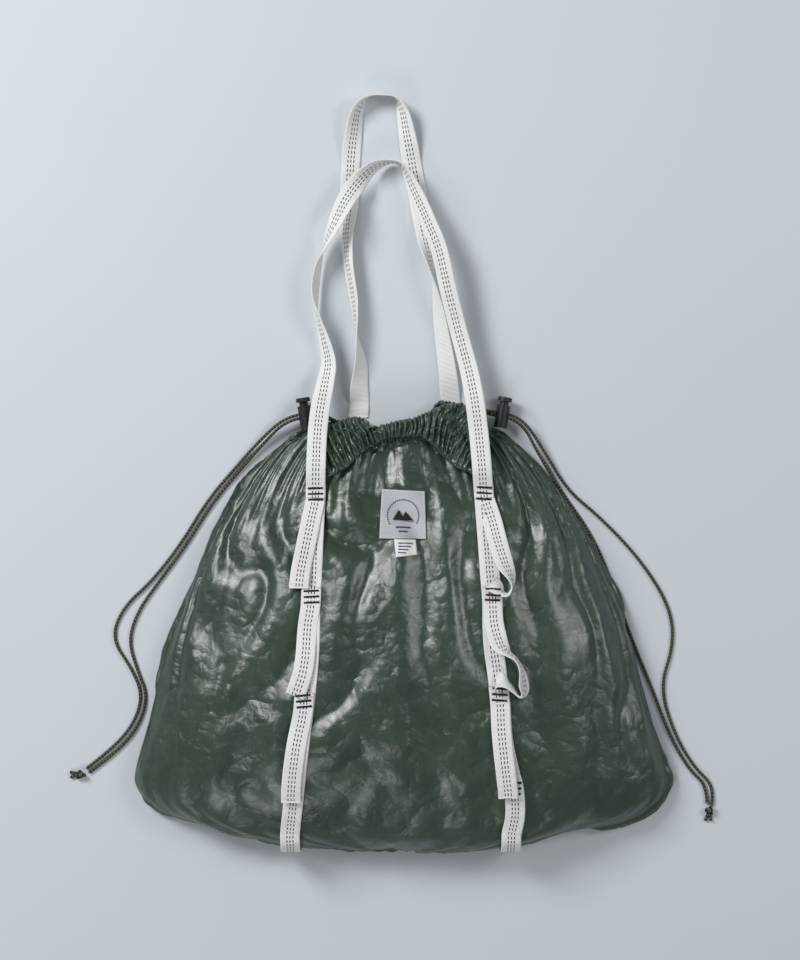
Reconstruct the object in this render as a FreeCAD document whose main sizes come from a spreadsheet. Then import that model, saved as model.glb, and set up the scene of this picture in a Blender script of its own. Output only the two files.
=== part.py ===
"""Drawcord rope storage bag with two webbing handles, lying on its back.

Frame: X across the bag, Y from the bottom towards the handles, Z up from the surface it lies on.
The origin is the centre of the bag's footprint, on that surface. All sizes are in millimetres.
"""
import FreeCAD, Part
import math
import os
import Sketcher
from FreeCAD import Placement, Rotation, Vector

doc = FreeCAD.newDocument("RopeBag")

# ---------------------------------------------------------------- driving sizes
SIZES = {
    # the whole bag
    "overall_length": 744.0,      # bottom edge to the top of the longer handle
    "body_length": 412.0,         # bottom edge to the lower edge of the drawcord hem
    "bag_width": 536.0,           # across the widest part, near the bottom
    "crown_height": 95.0,         # highest point of the filled bag above the surface
    "mouth_width": 164.0,         # across the gathered mouth
    "mouth_height": 34.0,         # top of the gathered mouth above the surface
    "end_height": 34.0,           # height of the rounded bottom end
    "hip_rise": 72.0,             # bottom edge to the widest line
    "crown_rise": 132.0,          # bottom edge to the highest line
    "panel_rise": 27.0,           # bottom edge to the seam of the bottom panel
    "seam_height": 22.0,          # side seam above the surface at the widest line
    "mouth_seam_height": 12.0,    # side seam above the surface at the mouth
    "wall": 1.6,                  # stand-in thickness of the shell
    # drawcord hem
    "hem_depth": 24.0,
    "hem_thickness": 8.0,
    "hem_wall": 1.0,
    "panel_gap": 0.2,             # between the hem and the panels sewn to it
    "exit_half_length": 5.2,
    "exit_half_height": 3.6,
    # webbing
    "webbing_width": 19.0,
    "webbing_thickness": 1.4,
    "webbing_gap": 0.8,           # webbing above the shell below it
    "layer_gap": 0.4,             # between two sewn layers
    "loop_height": 12.0,          # daisy loop above the layer below
    "tack_pitch": 96.0,
    "first_tack": -22.0,          # Y of the top bartack
    "tack_length": 14.5,
    "tack_thread": 1.8,
    "tack_spacing": 5.5,
    "tack_proud": 0.7,
    "hinge_gap": 3.0,             # between a sewn leg and the free handle above it
    # label
    "label_width": 44.0,
    "label_length": 47.0,
    "label_top": -19.0,
    "label_thickness": 0.8,
    "tag_width": 20.5,
    "tag_length": 17.0,
    # cord and cord locks
    "cord_diameter": 3.0,
    "cord_pitch": 3.5,            # between the two strands in a lock
    "knot_length": 11.0,
    "knot_width": 8.5,
    "lock_diameter": 13.0,
    "lock_bore": 9.0,
    "lock_top": 9.5,              # cord slot centre to the top of the barrel
    "lock_bottom": 12.5,          # cord slot centre to the bottom of the barrel
    "lock_floor": 1.2,
    "slot_clearance": 0.4,
    "plunger_clearance": 0.2,
    "plunger_travel": 3.2,
    "plunger_foot": 2.2,
    "plunger_head": 14.0,
    "head_thickness": 4.0,
    "head_gap": 4.0,
    "spring_wire": 0.9,
    "spring_diameter": 7.4,
    "spring_turns": 2.5,
}

sheet = doc.addObject("Spreadsheet::Sheet", "Sizes")
for row, (alias, value) in enumerate(SIZES.items(), start=1):
    sheet.set("A%d" % row, alias)
    sheet.set("B%d" % row, str(value))
    sheet.setAlias("B%d" % row, alias)
doc.recompute()


def size(alias):
    """Value of a named cell of the sheet."""
    return float(sheet.get(alias))


# ---------------------------------------------------------------- places worked out from the sizes
BOTTOM_Y = -size("overall_length") / 2.0
MOUTH_Y = BOTTOM_Y + size("body_length")
HIP_Y = BOTTOM_Y + size("hip_rise")
CROWN_Y = BOTTOM_Y + size("crown_rise")
PANEL_Y = BOTTOM_Y + size("panel_rise")
REST_Z = size("webbing_thickness") + size("layer_gap")
HALF_WEBBING = size("webbing_width") / 2.0
HALF_THICKNESS = size("webbing_thickness") / 2.0
LOCK_Z = size("mouth_seam_height")

SIDE_FULLNESS = 0.45      # how quickly the sides open out below the mouth
CORNER_SQUARENESS = 2.5   # how square the bottom corners are
CROWN_SHAPE = 2.6         # how flat the top of a cross section is
CROWN_FALL = 0.7
UNDERSIDE_SHAPE = 6.0     # how far out the underside stays on the surface
SECTION_POINTS = 15


def share(value):
    """The value held between 0 and 1."""
    return min(1.0, max(0.0, value))


def half_width(y):
    """Half width of the bag's outline at Y."""
    mouth_half = size("mouth_width") / 2.0
    hip_half = size("bag_width") / 2.0
    if y >= HIP_Y:
        down = share((MOUTH_Y - y) / (MOUTH_Y - HIP_Y))
        return mouth_half + (hip_half - mouth_half) * down ** SIDE_FULLNESS
    below = min(0.993, (HIP_Y - y) / (HIP_Y - BOTTOM_Y))
    return hip_half * (1.0 - below ** CORNER_SQUARENESS) ** SIDE_FULLNESS


def crown(y):
    """Height of the outline's centre line at Y."""
    if y >= CROWN_Y:
        down = share((MOUTH_Y - y) / (MOUTH_Y - CROWN_Y))
        rise = size("crown_height") - size("mouth_height")
        return size("mouth_height") + rise * math.sin(math.pi / 2.0 * down)
    below = min(0.996, (CROWN_Y - y) / (CROWN_Y - BOTTOM_Y))
    fall = (1.0 - below ** 2.2) ** 0.6
    return size("end_height") + (size("crown_height") - size("end_height")) * fall


def seam(y):
    """Height of the side seam at Y."""
    down = share((MOUTH_Y - y) / (MOUTH_Y - HIP_Y))
    return size("mouth_seam_height") + (size("seam_height") - size("mouth_seam_height")) * down


def top_height(x, y, inset=0.0):
    """Height of the front face at a point."""
    across = min(1.0, abs(x) / (half_width(y) - inset))
    rise = crown(y) - inset - seam(y)
    return seam(y) + rise * (1.0 - across ** CROWN_SHAPE) ** CROWN_FALL


def under_height(x, y, inset=0.0):
    """Height of the back face at a point."""
    across = min(1.0, abs(x) / (half_width(y) - inset))
    low = REST_Z + inset
    return low + (seam(y) - low) * across ** UNDERSIDE_SHAPE


def curve_points(y, height, inset):
    """Points from the left seam to the right seam along the front or the back face."""
    points = []
    for index in range(SECTION_POINTS):
        angle = math.pi * (index / (SECTION_POINTS - 1.0) - 0.5)
        x = (half_width(y) - inset) * math.sin(angle)
        points.append(Vector(x, y, height(x, y, inset)))
    return points


def spline(points):
    """One smooth edge through the points."""
    curve = Part.BSplineCurve()
    curve.interpolate(points)
    return curve.toShape()


def strip_wire(y, height, inset_out, inset_in):
    """Closed outline of one face's wall at Y."""
    outer = curve_points(y, height, inset_out)
    inner = curve_points(y, height, inset_in)
    edges = [
        spline(outer),
        Part.makeLine(outer[-1], inner[-1]),
        spline(inner[::-1]),
        Part.makeLine(inner[0], outer[0]),
    ]
    return Part.Wire(edges)


def ring_wire(y, inset):
    """Closed outline of the whole cross section at Y."""
    top = curve_points(y, top_height, inset)
    under = curve_points(y, under_height, inset)
    return Part.Wire([spline(top), spline(under[::-1])])


def loft(wires):
    """Solid through the closed outlines."""
    return Part.makeLoft(wires, True, False)


# ---------------------------------------------------------------- document objects
NODES = []


def add_shape(label, shape, placement=None):
    """A sub-part whose shape is set directly, then placed."""
    part = doc.addObject("Part::Feature", label)
    part.Label = label
    part.Shape = shape
    part.Placement = placement or Placement()
    NODES.append(part)
    return part


def shell_stations():
    """Y of each cross section of the main panels, from the mouth to the bottom panel's seam."""
    top = MOUTH_Y - size("panel_gap")
    length = top - PANEL_Y
    steps = [0.0, 0.012, 0.04, 0.09, 0.16, 0.26, 0.37, 0.49, 0.61, 0.72, 0.82, 0.9, 0.96, 1.0]
    return [top - length * step for step in steps]


def add_panels():
    """Front and back panels, and the rounded bottom panel that joins them."""
    wall = size("wall")
    stations = shell_stations()
    add_shape("front_panel", loft([strip_wire(y, top_height, 0.0, wall) for y in stations]))
    add_shape("back_panel", loft([strip_wire(y, under_height, 0.0, wall) for y in stations]))
    rise = size("panel_rise")
    cap = [PANEL_Y - rise * step for step in (0.0, 0.3, 0.56, 0.78, 0.92, 1.0)]
    inner_rise = rise - wall
    inner = [PANEL_Y - inner_rise * step for step in (0.0, 0.3, 0.56, 0.78, 0.92, 1.0)]
    outside = loft([ring_wire(y, 0.0) for y in cap])
    inside = loft([ring_wire(y, wall) for y in inner])
    add_shape("bottom_panel", outside.cut(inside))


def hem_half(front):
    """Half of the drawcord hem: a flat tube round one side of the mouth, open at the cord exits."""
    thickness = size("hem_thickness")
    wall = size("hem_wall")
    depth = size("hem_depth")
    height = top_height if front else under_height
    along = Vector(0, depth, 0)
    body = Part.Face(strip_wire(MOUTH_Y, height, 0.0, thickness)).extrude(along)
    channel = Part.Face(strip_wire(MOUTH_Y, height, wall, thickness - wall))
    channel = channel.extrude(Vector(0, depth - 2 * wall, 0))
    channel.translate(Vector(0, wall, 0))
    body = body.cut(channel)
    for side in (-1, 1):
        reach = 2.0 * thickness
        opening = Part.makeBox(reach, 2 * size("exit_half_length"), 2 * size("exit_half_height"))
        corner_x = side * half_width(MOUTH_Y) - reach / 2.0
        corner_y = EXIT_Y[side] - size("exit_half_length")
        opening.translate(Vector(corner_x, corner_y, LOCK_Z - size("exit_half_height")))
        body = body.cut(opening)
    return body


# Cord locks: place of the cord slot's centre, and the lean of the barrel from +Y towards +X in degrees
# and the distance of the lock's own drawcord from the lower edge of the hem
LOCKS = {
    "left": {"side": -1, "slot": Vector(-93.5, 53.0, LOCK_Z), "lean": -8.6, "lane": 7.5},
    "right": {"side": 1, "slot": Vector(99.0, 53.6, LOCK_Z), "lean": 10.0, "lane": 20.5},
}


def lock_axis(lock):
    """Direction from the barrel's closed end to the plunger's head."""
    lean = math.radians(lock["lean"])
    return Vector(math.sin(lean), math.cos(lean), 0)


def cord_direction(lock):
    """Direction in which the two strands leave the lock."""
    axis = lock_axis(lock)
    return Vector(axis.y, -axis.x, 0) * lock["side"]


def exit_height(lock):
    """Y at which the strands cross the side of the hem."""
    direction = cord_direction(lock)
    run = (lock["side"] * half_width(MOUTH_Y) - lock["slot"].x) / direction.x
    return (lock["slot"] + direction * run).y


EXIT_Y = {lock["side"]: exit_height(lock) for lock in LOCKS.values()}


# ---------------------------------------------------------------- webbing
# Centre line of each sewn leg as (Y, X) pairs, from the top bartack to the bottom edge
LEFT_LEG = [(-22.0, -82.0), (-136.0, -87.5), (-255.0, -96.5), (-372.0, -107.0)]
RIGHT_LEG = [(-22.0, 80.0), (-136.0, 88.5), (-255.0, 98.0), (-372.0, 106.0)]
# The legs under the back panel, from the hem to the bottom edge
BACK_LEFT_LEG = [(66.0, -41.0), (-136.0, -70.0), (-255.0, -90.0), (-372.0, -107.0)]
BACK_RIGHT_LEG = [(66.0, 49.5), (-136.0, 74.0), (-255.0, 91.0), (-372.0, 106.0)]


WRAP_RISE = 22.0          # bottom edge to where the webbing starts to turn under the bag
WRAP_STEPS = 12           # straight pieces round the turn
WRAP_SAG = 0.3            # room for the straight pieces inside the true curve
WRAP_SQUARENESS = 0.5     # how closely the turn keeps to the corner under the edge


def leg_x(leg, y):
    """X of a leg's centre line at Y, by straight interpolation."""
    for (high_y, high_x), (low_y, low_x) in zip(leg, leg[1:]):
        if y >= low_y or (low_y, low_x) == leg[-1]:
            along = (high_y - y) / (high_y - low_y)
            return high_x + (low_x - high_x) * along


def quad(left_low, right_low, right_high, left_high):
    """Closed four-sided outline."""
    corners = [left_low, right_low, right_high, left_high, left_low]
    return Part.makePolygon(corners)


def ribbon(stations, ruled=False):
    """Webbing solid through (centre, width direction, normal) stations; the centre is mid thickness."""
    wires = []
    for centre, across, normal in stations:
        side = across * HALF_WEBBING
        up = normal * HALF_THICKNESS
        wires.append(quad(centre - side - up, centre + side - up, centre + side + up, centre - side + up))
    return Part.makeLoft(wires, True, ruled)


def on_front(leg, y, lift):
    """Station of a strip that lies on the front face, lift above it."""
    x = leg_x(leg, y)
    height = top_height(x, y)
    slope = (top_height(x + HALF_WEBBING, y) - top_height(x - HALF_WEBBING, y)) / (2 * HALF_WEBBING)
    across = Vector(1, 0, slope)
    across.normalize()
    drop = (top_height(x, y + 2.0) - top_height(x, y - 2.0)) / 4.0
    along = Vector(0, 1, drop)
    along.normalize()
    normal = across.cross(along)
    normal.normalize()
    centre = Vector(x, y, height) + normal * (lift + HALF_THICKNESS)
    return centre, across, normal


def base_strip(leg):
    """Stations of the sewn webbing from the top bartack down the front, as far as the bottom edge."""
    lift = size("webbing_gap")
    top = size("first_tack") + 1.5 * size("tack_spacing")
    low = BOTTOM_Y + WRAP_RISE
    count = 24
    stations = []
    for index in range(count + 1):
        y = top + (low - top) * index / count
        stations.append(on_front(leg, y, lift))
    return stations


def add_base(label, leg):
    """Sewn base webbing on the front, as far as the rounded bottom edge."""
    add_shape(label, ribbon(base_strip(leg)))


def add_wrap(label, leg):
    """The same webbing round the bottom edge, onto the surface the bag lies on."""
    start_y = BOTTOM_Y + WRAP_RISE - size("layer_gap")
    x_end = leg_x(leg, BOTTOM_Y)
    start = on_front(leg, start_y, size("webbing_gap"))
    edge_y = outline_y(abs(x_end) - HALF_WEBBING) - 2 * size("webbing_gap") - HALF_THICKNESS - WRAP_SAG
    edge_z = size("seam_height")
    stations = [start]
    across = Vector(1, 0, 0)
    for step in range(1, WRAP_STEPS):
        turn = math.radians(90.0 - 180.0 * step / WRAP_STEPS)
        if turn > 0:
            y = start_y + (edge_y - start_y) * math.cos(turn)
            z = edge_z + (start[0].z - edge_z) * math.sin(turn)
        else:
            y = start_y + (edge_y - start_y) * math.cos(turn) ** WRAP_SQUARENESS
            z = edge_z - (edge_z - HALF_THICKNESS) * math.sin(-turn) ** WRAP_SQUARENESS
        normal = Vector(0, -math.cos(turn), math.sin(turn))
        stations.append((Vector(x_end, y, z), across, normal))
    stations.append((Vector(x_end, start_y, HALF_THICKNESS), across, Vector(0, 0, -1)))
    add_shape(label, ribbon(stations, True))


def outline_y(x):
    """Y of the bottom outline at a distance from the centre line."""
    hip_half = size("bag_width") / 2.0
    below = (1.0 - (x / hip_half) ** (1.0 / SIDE_FULLNESS)) ** (1.0 / CORNER_SQUARENESS)
    return HIP_Y - (HIP_Y - BOTTOM_Y) * below


def add_back_leg(label, leg):
    """Flat webbing under the back panel, from the bottom edge to the hem; the bag rests on it."""
    start_y = BOTTOM_Y + WRAP_RISE
    end_y = leg[0][0] - size("hinge_gap")
    middle = [y for y, x in leg if start_y < y < end_y]
    rows = [start_y] + sorted(middle) + [end_y]
    left = [Vector(leg_x(leg, y) - HALF_WEBBING, y, 0) for y in rows]
    right = [Vector(leg_x(leg, y) + HALF_WEBBING, y, 0) for y in reversed(rows)]
    outline = Part.Face(Part.makePolygon(left + right + left[:1]))
    add_shape(label, outline.extrude(Vector(0, 0, size("webbing_thickness"))))


def tack_rows():
    """Y of the middle of each bartack, from the top."""
    return [size("first_tack") - size("tack_pitch") * index for index in range(4)]


LOOP_STEPS = 12


def add_daisy(label, leg):
    """Outer webbing, sewn at the bartacks and bulging into a loop between each pair."""
    flat = size("webbing_gap") + size("webbing_thickness") + size("layer_gap")
    rows = tack_rows()
    land = 1.5 * size("tack_spacing")
    stations = [on_front(leg, rows[0] + land, flat)]
    for upper, lower in zip(rows, rows[1:]):
        start = upper - land
        end = lower + land
        stations.append(on_front(leg, upper, flat))
        for index in range(LOOP_STEPS + 1):
            step = index / LOOP_STEPS
            bulge = abs(math.sin(math.pi * step ** 1.4)) ** 1.2
            y = start + (end - start) * step
            stations.append(on_front(leg, y, flat + size("loop_height") * bulge))
    stations.append(on_front(leg, rows[-1], flat))
    stations.append(on_front(leg, rows[-1] - land, flat))
    add_shape(label, ribbon(stations, True))


def tack_bars(leg, flat, across_half):
    """Three thread bars at each bartack, as separate solids."""
    bars = []
    for row in tack_rows():
        for step in (-1, 0, 1):
            y = row + step * size("tack_spacing")
            centre, across, normal = on_front(leg, y, flat)
            bar = Part.makeBox(2 * across_half, size("tack_thread"), size("tack_proud"))
            bar.translate(Vector(-across_half, -size("tack_thread") / 2.0, 0))
            turn = Rotation(Vector(1, 0, 0), across)
            tilt = Rotation(turn.multVec(Vector(0, 0, 1)), normal)
            foot = centre - normal * HALF_THICKNESS
            bar.Placement = Placement(foot, tilt.multiply(turn)).multiply(bar.Placement)
            bars.append(bar)
    return Part.makeCompound(bars)


def add_tacks(label, leg):
    """Bartacks of one front leg, standing on its outer webbing."""
    above = size("webbing_gap") + 2 * size("webbing_thickness") + 1.5 * size("layer_gap")
    add_shape(label, tack_bars(leg, above, size("tack_length") / 2.0))


# Free part of each handle: (x, y, height of the lower edge, roll in degrees) along the strap.
# The roll turns the webbing about its own length; 90 stands it on its edge.
FRONT_HANDLE = [
    (-82.0, 0.0, 46.0, 0.0), (-81.5, 20.0, 40.0, 0.0), (-80.5, 40.0, 33.5, 0.0), (-78.0, 62.0, 27.0, 0.0),
    (-74.0, 84.0, 16.0, 20.0), (-71.0, 105.0, 7.0, 38.0), (-75.0, 126.0, 3.4, 55.0), (-80.5, 148.0, 3.4, 78.0),
    (-84.0, 172.0, 3.4, 108.0), (-81.0, 198.0, 3.4, 106.0), (-74.0, 220.0, 8.0, 72.0), (-64.0, 241.0, 18.0, 40.0),
    (-52.0, 266.0, 16.0, 8.0), (-38.0, 285.0, 10.0, -34.0), (-24.0, 297.0, 5.0, -66.0), (-8.0, 301.0, 3.4, -88.0),
    (3.0, 294.0, 5.0, -74.0), (13.6, 271.0, 9.0, -44.0), (26.0, 242.0, 17.5, -38.0), (37.0, 213.0, 23.5, -32.0),
    (46.0, 174.0, 21.5, -30.0), (56.0, 135.0, 17.0, -28.0), (66.0, 97.0, 21.0, -20.0), (71.5, 66.0, 30.5, -6.0),
    (74.5, 42.0, 34.0, 0.0), (76.5, 20.0, 41.0, 0.0), (78.0, 0.0, 46.5, 0.0),
]
BACK_HANDLE = [
    (-41.0, 82.0, 0.3, 155.0), (-39.5, 105.0, 0.3, 128.0), (-43.0, 132.0, 0.3, 92.0), (-46.0, 165.0, 0.3, 66.0),
    (-51.5, 200.0, 0.3, 60.0), (-53.5, 232.0, 0.3, 44.0), (-51.0, 264.0, 0.3, 8.0), (-49.5, 300.0, 0.3, 0.0),
    (-46.5, 330.0, 0.3, -28.0), (-42.0, 353.0, 0.3, -60.0), (-32.0, 365.2, 0.3, -95.0), (-17.0, 368.3, 0.3, -108.0),
    (-5.0, 363.7, 0.3, -92.0), (1.5, 351.0, 0.3, -56.0), (6.0, 328.0, 0.3, -26.0), (11.0, 300.0, 0.3, 0.0),
    (17.5, 264.0, 0.3, 0.0), (24.0, 230.0, 0.3, 18.0), (30.0, 195.0, 0.3, 78.0), (36.0, 160.0, 0.3, 120.0),
    (40.5, 130.0, 0.3, 140.0), (45.5, 98.0, 0.3, 158.0),
]


SEGMENT_STEPS = 4         # stations between two listed points of a free strap
LEAST_LOW = 0.3


def between(before, start, end, after, step):
    """Smooth value a share of the way from start to end, given the values on either side of them."""
    bend = 2 * before - 5 * start + 4 * end - after
    twist = 3 * start - before - 3 * end + after
    return 0.5 * (2 * start + (end - before) * step + bend * step ** 2 + twist * step ** 3)


def smoothed(points):
    """The listed points of a strap with more between them, on a smooth line."""
    padded = [points[0]] + points + [points[-1]]
    dense = []
    for index in range(1, len(padded) - 2):
        for step in range(SEGMENT_STEPS):
            columns = zip(*padded[index - 1:index + 3])
            values = [between(*column, step / SEGMENT_STEPS) for column in columns]
            values[2] = max(values[2], LEAST_LOW)
            dense.append(tuple(values))
    return dense + [points[-1]]


def strap_station(points, index):
    """Station of a free strap from its listed point, its neighbours and its roll."""
    x, y, low, roll = points[index]
    before = points[max(0, index - 1)]
    after = points[min(len(points) - 1, index + 1)]
    heading = Vector(after[0] - before[0], after[1] - before[1], 0)
    heading.normalize()
    side = Vector(heading.y, -heading.x, 0)
    turn = math.radians(roll)
    across = side * math.cos(turn) + Vector(0, 0, 1) * math.sin(turn)
    normal = across.cross(heading)
    normal.normalize()
    lift = HALF_WEBBING * abs(math.sin(turn)) + HALF_THICKNESS * abs(math.cos(turn))
    return Vector(x, y, low + lift), across, normal


HINGE_LIFT = 1.0          # free handle's end above the sewn webbing it continues


def flat_station(x, y, z, facing):
    """Flat station of a strap; facing 1 has its right-hand edge first, -1 the other way over."""
    return Vector(x, y, z), Vector(facing, 0, 0), Vector(0, 0, 1)


def add_front_handle():
    """Free loop of the front handle, from one top bartack to the other."""
    flat = size("webbing_gap") + size("webbing_thickness") + size("layer_gap")
    start_y = tack_rows()[0] + 1.5 * size("tack_spacing") + size("hinge_gap")
    left = on_front(LEFT_LEG, start_y, flat)[0]
    right = on_front(RIGHT_LEG, start_y, flat)[0]
    hinge_z = max(left.z, right.z) + HINGE_LIFT
    stations = [flat_station(left.x, start_y, hinge_z, 1)]
    points = smoothed(FRONT_HANDLE)
    stations += [strap_station(points, index) for index in range(len(points))]
    stations.append(flat_station(right.x, start_y, hinge_z, -1))
    add_shape("front_handle", ribbon(stations, True))
    return start_y, hinge_z


def add_back_handle():
    """Free loop of the back handle, beyond the edge of the hem."""
    start_y = BACK_LEFT_LEG[0][0]
    stations = [flat_station(BACK_LEFT_LEG[0][1], start_y, HALF_THICKNESS, -1)]
    stations[0] = (stations[0][0], stations[0][1], Vector(0, 0, -1))
    points = smoothed(BACK_HANDLE)
    stations += [strap_station(points, index) for index in range(len(points))]
    last = Vector(BACK_RIGHT_LEG[0][1], start_y, HALF_THICKNESS)
    stations.append((last, Vector(1, 0, 0), Vector(0, 0, -1)))
    add_shape("back_handle", ribbon(stations, True))


# ---------------------------------------------------------------- label
def front_patch(width, top_y, length, centre_x, lift):
    """Thin patch that lies on the front face."""
    wires = []
    for step in range(5):
        y = top_y - length * step / 4.0
        low = top_height(centre_x, y) + lift
        high = low + size("label_thickness")
        left = centre_x - width / 2.0
        right = centre_x + width / 2.0
        wires.append(quad(Vector(left, y, low), Vector(right, y, low), Vector(right, y, high), Vector(left, y, high)))
    return loft(wires)


def add_labels():
    """Woven label, and the small folded tag that hangs from its lower edge."""
    lift = size("webbing_gap")
    add_shape("label_patch", front_patch(size("label_width"), size("label_top"), size("label_length"), 2.0, lift))
    tag_top = size("label_top") - size("label_length") - size("layer_gap")
    add_shape("side_tag", front_patch(size("tag_width"), tag_top, size("tag_length"), 4.5, lift))


# ---------------------------------------------------------------- cords
CORD_RADII = []


def rounded_path(points):
    """Straight runs joined by tangent arcs, each as large as its two runs allow."""
    edges = []
    start = points[0]
    for before, corner, after in zip(points, points[1:], points[2:]):
        back = before - corner
        ahead = after - corner
        shorter = min(back.Length, ahead.Length)
        turn = math.pi - back.getAngle(ahead)
        reach = 0.45 * shorter
        radius = reach / math.tan(turn / 2.0)
        CORD_RADII.append(round(radius, 1))
        back.normalize()
        ahead.normalize()
        first = corner + back * reach
        last = corner + ahead * reach
        middle_way = (back + ahead).normalize()
        middle = corner + middle_way * (radius / math.cos(turn / 2.0) - radius)
        edges.append(Part.LineSegment(start, first).toShape())
        edges.append(Part.Arc(first, middle, last).toShape())
        start = last
    edges.append(Part.LineSegment(start, points[-1]).toShape())
    return Part.Wire(edges)


def cord_tube(label, points):
    """Round cord along a rounded path; its volume is its section times its length."""
    radius = size("cord_diameter") / 2.0
    path = rounded_path(points)
    tangent = points[1] - points[0]
    circle = Part.Wire(Part.Circle(points[0], tangent, radius).toShape())
    pipe = Part.BRepOffsetAPI.MakePipeShell(path)
    pipe.add(circle)
    pipe.setTransitionMode(1)
    pipe.build()
    pipe.makeSolid()
    tube = pipe.shape()
    expected = math.pi * radius ** 2 * path.Length
    print("%s: length %.1f, volume share %.4f" % (label, path.Length, tube.Volume / expected))
    add_shape(label, tube)


def strand_start(lock, up):
    """First points of a strand: in the hem, at its exit, and straight through the lock."""
    side = lock["side"]
    axis = lock_axis(lock)
    direction = cord_direction(lock)
    offset = axis * (up * size("cord_pitch") / 2.0)
    in_exit = lock["slot"] - direction * 14.5 + offset
    past_lock = lock["slot"] + direction * 19.0 + offset
    x = side * HEM_CORD_END
    height = top_height if up > 0 else under_height
    in_hem = Vector(x, MOUTH_Y + lock["lane"], height(x, MOUTH_Y, size("hem_thickness") / 2.0))
    return [in_hem, in_exit, past_lock]


HEM_CORD_END = 64.0
FLOOR_Z = size("cord_diameter") / 2.0 + 0.15

# Route of each strand beyond its lock, as (x, y, z); it comes down to the surface and stays on it
LEFT_OUTER = [
    (-137.0, 30.5, 5.5), (-163.0, 1.5, FLOOR_Z), (-190.0, -30.0, FLOOR_Z), (-216.0, -73.0, FLOOR_Z),
    (-245.0, -110.0, FLOOR_Z), (-272.0, -134.0, FLOOR_Z), (-285.0, -165.0, FLOOR_Z), (-264.0, -196.0, FLOOR_Z),
    (-253.5, -222.0, FLOOR_Z), (-263.5, -252.0, FLOOR_Z), (-287.0, -277.0, FLOOR_Z), (-309.0, -293.5, FLOOR_Z),
]
LEFT_INNER = [
    (-133.5, 27.5, 5.5), (-159.5, -2.0, FLOOR_Z), (-186.0, -33.5, FLOOR_Z), (-212.0, -76.0, FLOOR_Z),
    (-239.0, -111.5, FLOOR_Z), (-258.5, -139.0, FLOOR_Z), (-268.0, -168.0, FLOOR_Z), (-258.5, -198.0, FLOOR_Z),
    (-248.5, -223.0, FLOOR_Z), (-259.0, -255.0, FLOOR_Z), (-284.0, -281.5, FLOOR_Z), (-306.5, -297.5, FLOOR_Z),
]
RIGHT_OUTER = [
    (140.0, 19.0, 5.5), (163.0, -20.0, FLOOR_Z), (195.0, -46.0, FLOOR_Z), (235.0, -88.0, FLOOR_Z),
    (264.0, -134.0, FLOOR_Z), (268.0, -172.0, FLOOR_Z), (254.0, -214.0, FLOOR_Z), (269.0, -261.0, FLOOR_Z),
    (288.0, -292.5, FLOOR_Z), (308.0, -311.0, FLOOR_Z), (305.0, -328.5, FLOOR_Z),
]
RIGHT_INNER = [
    (136.0, 13.0, 5.5), (159.0, -24.0, FLOOR_Z), (187.0, -63.0, FLOOR_Z), (208.0, -112.0, FLOOR_Z),
    (226.0, -165.0, FLOOR_Z), (247.0, -216.0, FLOOR_Z), (264.5, -263.5, FLOOR_Z), (284.0, -296.0, FLOOR_Z),
    (300.0, -309.5, FLOOR_Z), (300.5, -327.5, FLOOR_Z),
]


def add_strand(label, lock, up, route):
    """One free end of a drawcord, from the hem through its lock to its knot."""
    points = strand_start(lock, up) + [Vector(*point) for point in route]
    cord_tube(label, points)


def add_hem_cord(label, lock):
    """The stretch of a drawcord inside the hem: across the front, round the far side and back."""
    side = lock["side"]
    inset = size("hem_thickness") / 2.0
    reach = half_width(MOUTH_Y) - inset
    lane_y = MOUTH_Y + lock["lane"]
    start_angle = math.asin(HEM_CORD_END / reach)
    far_angle = math.radians(76.0)
    count = 8
    points = []
    for index in range(count + 1):
        angle = -start_angle + (start_angle + far_angle) * index / count
        x = reach * math.sin(angle)
        points.append(Vector(-side * x, lane_y, top_height(x, MOUTH_Y, inset)))
    for index in range(count + 1):
        angle = far_angle - (start_angle + far_angle) * index / count
        x = reach * math.sin(angle)
        points.append(Vector(-side * x, lane_y, under_height(x, MOUTH_Y, inset)))
    cord_tube(label, points)


def add_knot(label, centre, heading, tails):
    """Overhand knot that ties the two strands, with their short ends."""
    half_length = size("knot_length") / 2.0
    half_wide = size("knot_width") / 2.0
    arc = Part.ArcOfEllipse(Part.Ellipse(Vector(0, 0, 0), half_length, half_wide), 0.0, math.pi)
    outline = Part.Wire([arc.toShape(), Part.makeLine(arc.EndPoint, arc.StartPoint)])
    knot = Part.Face(outline).revolve(Vector(0, 0, 0), Vector(1, 0, 0), 360)
    knot.Placement = Placement(Vector(centre[0], centre[1], half_wide + 0.15), Rotation(Vector(1, 0, 0), heading))
    for dx, dy in tails:
        foot = Vector(centre[0], centre[1], FLOOR_Z)
        end = Vector(dx, dy, 0)
        knot = knot.fuse(Part.makeCylinder(size("cord_diameter") / 2.0, end.Length, foot, end))
    add_shape(label, knot)


# ---------------------------------------------------------------- cord locks
def origin_plane(body, role):
    """One of a body's own origin planes."""
    for feature in body.Origin.OriginFeatures:
        if feature.Role == role:
            return feature
    return None


def add_sketch(body, name, role, height=0.0):
    """Sketch on a body's own origin plane, offset along the plane's normal."""
    sketch = body.newObject("Sketcher::SketchObject", name)
    sketch.AttachmentSupport = [(origin_plane(body, role), "")]
    sketch.MapMode = "FlatFace"
    sketch.AttachmentOffset = Placement(Vector(0, 0, height), Rotation())
    return sketch


def add_circle(sketch, expression):
    """Circle about the sketch's origin with its diameter bound to a cell."""
    index = sketch.addGeometry(Part.Circle(Vector(0, 0, 0), Vector(0, 0, 1), 5.0), False)
    sketch.addConstraint(Sketcher.Constraint("Coincident", index, 3, -1, 1))
    diameter = sketch.addConstraint(Sketcher.Constraint("Diameter", index, 10.0))
    sketch.setExpression("Constraints[%d]" % diameter, expression)


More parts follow.
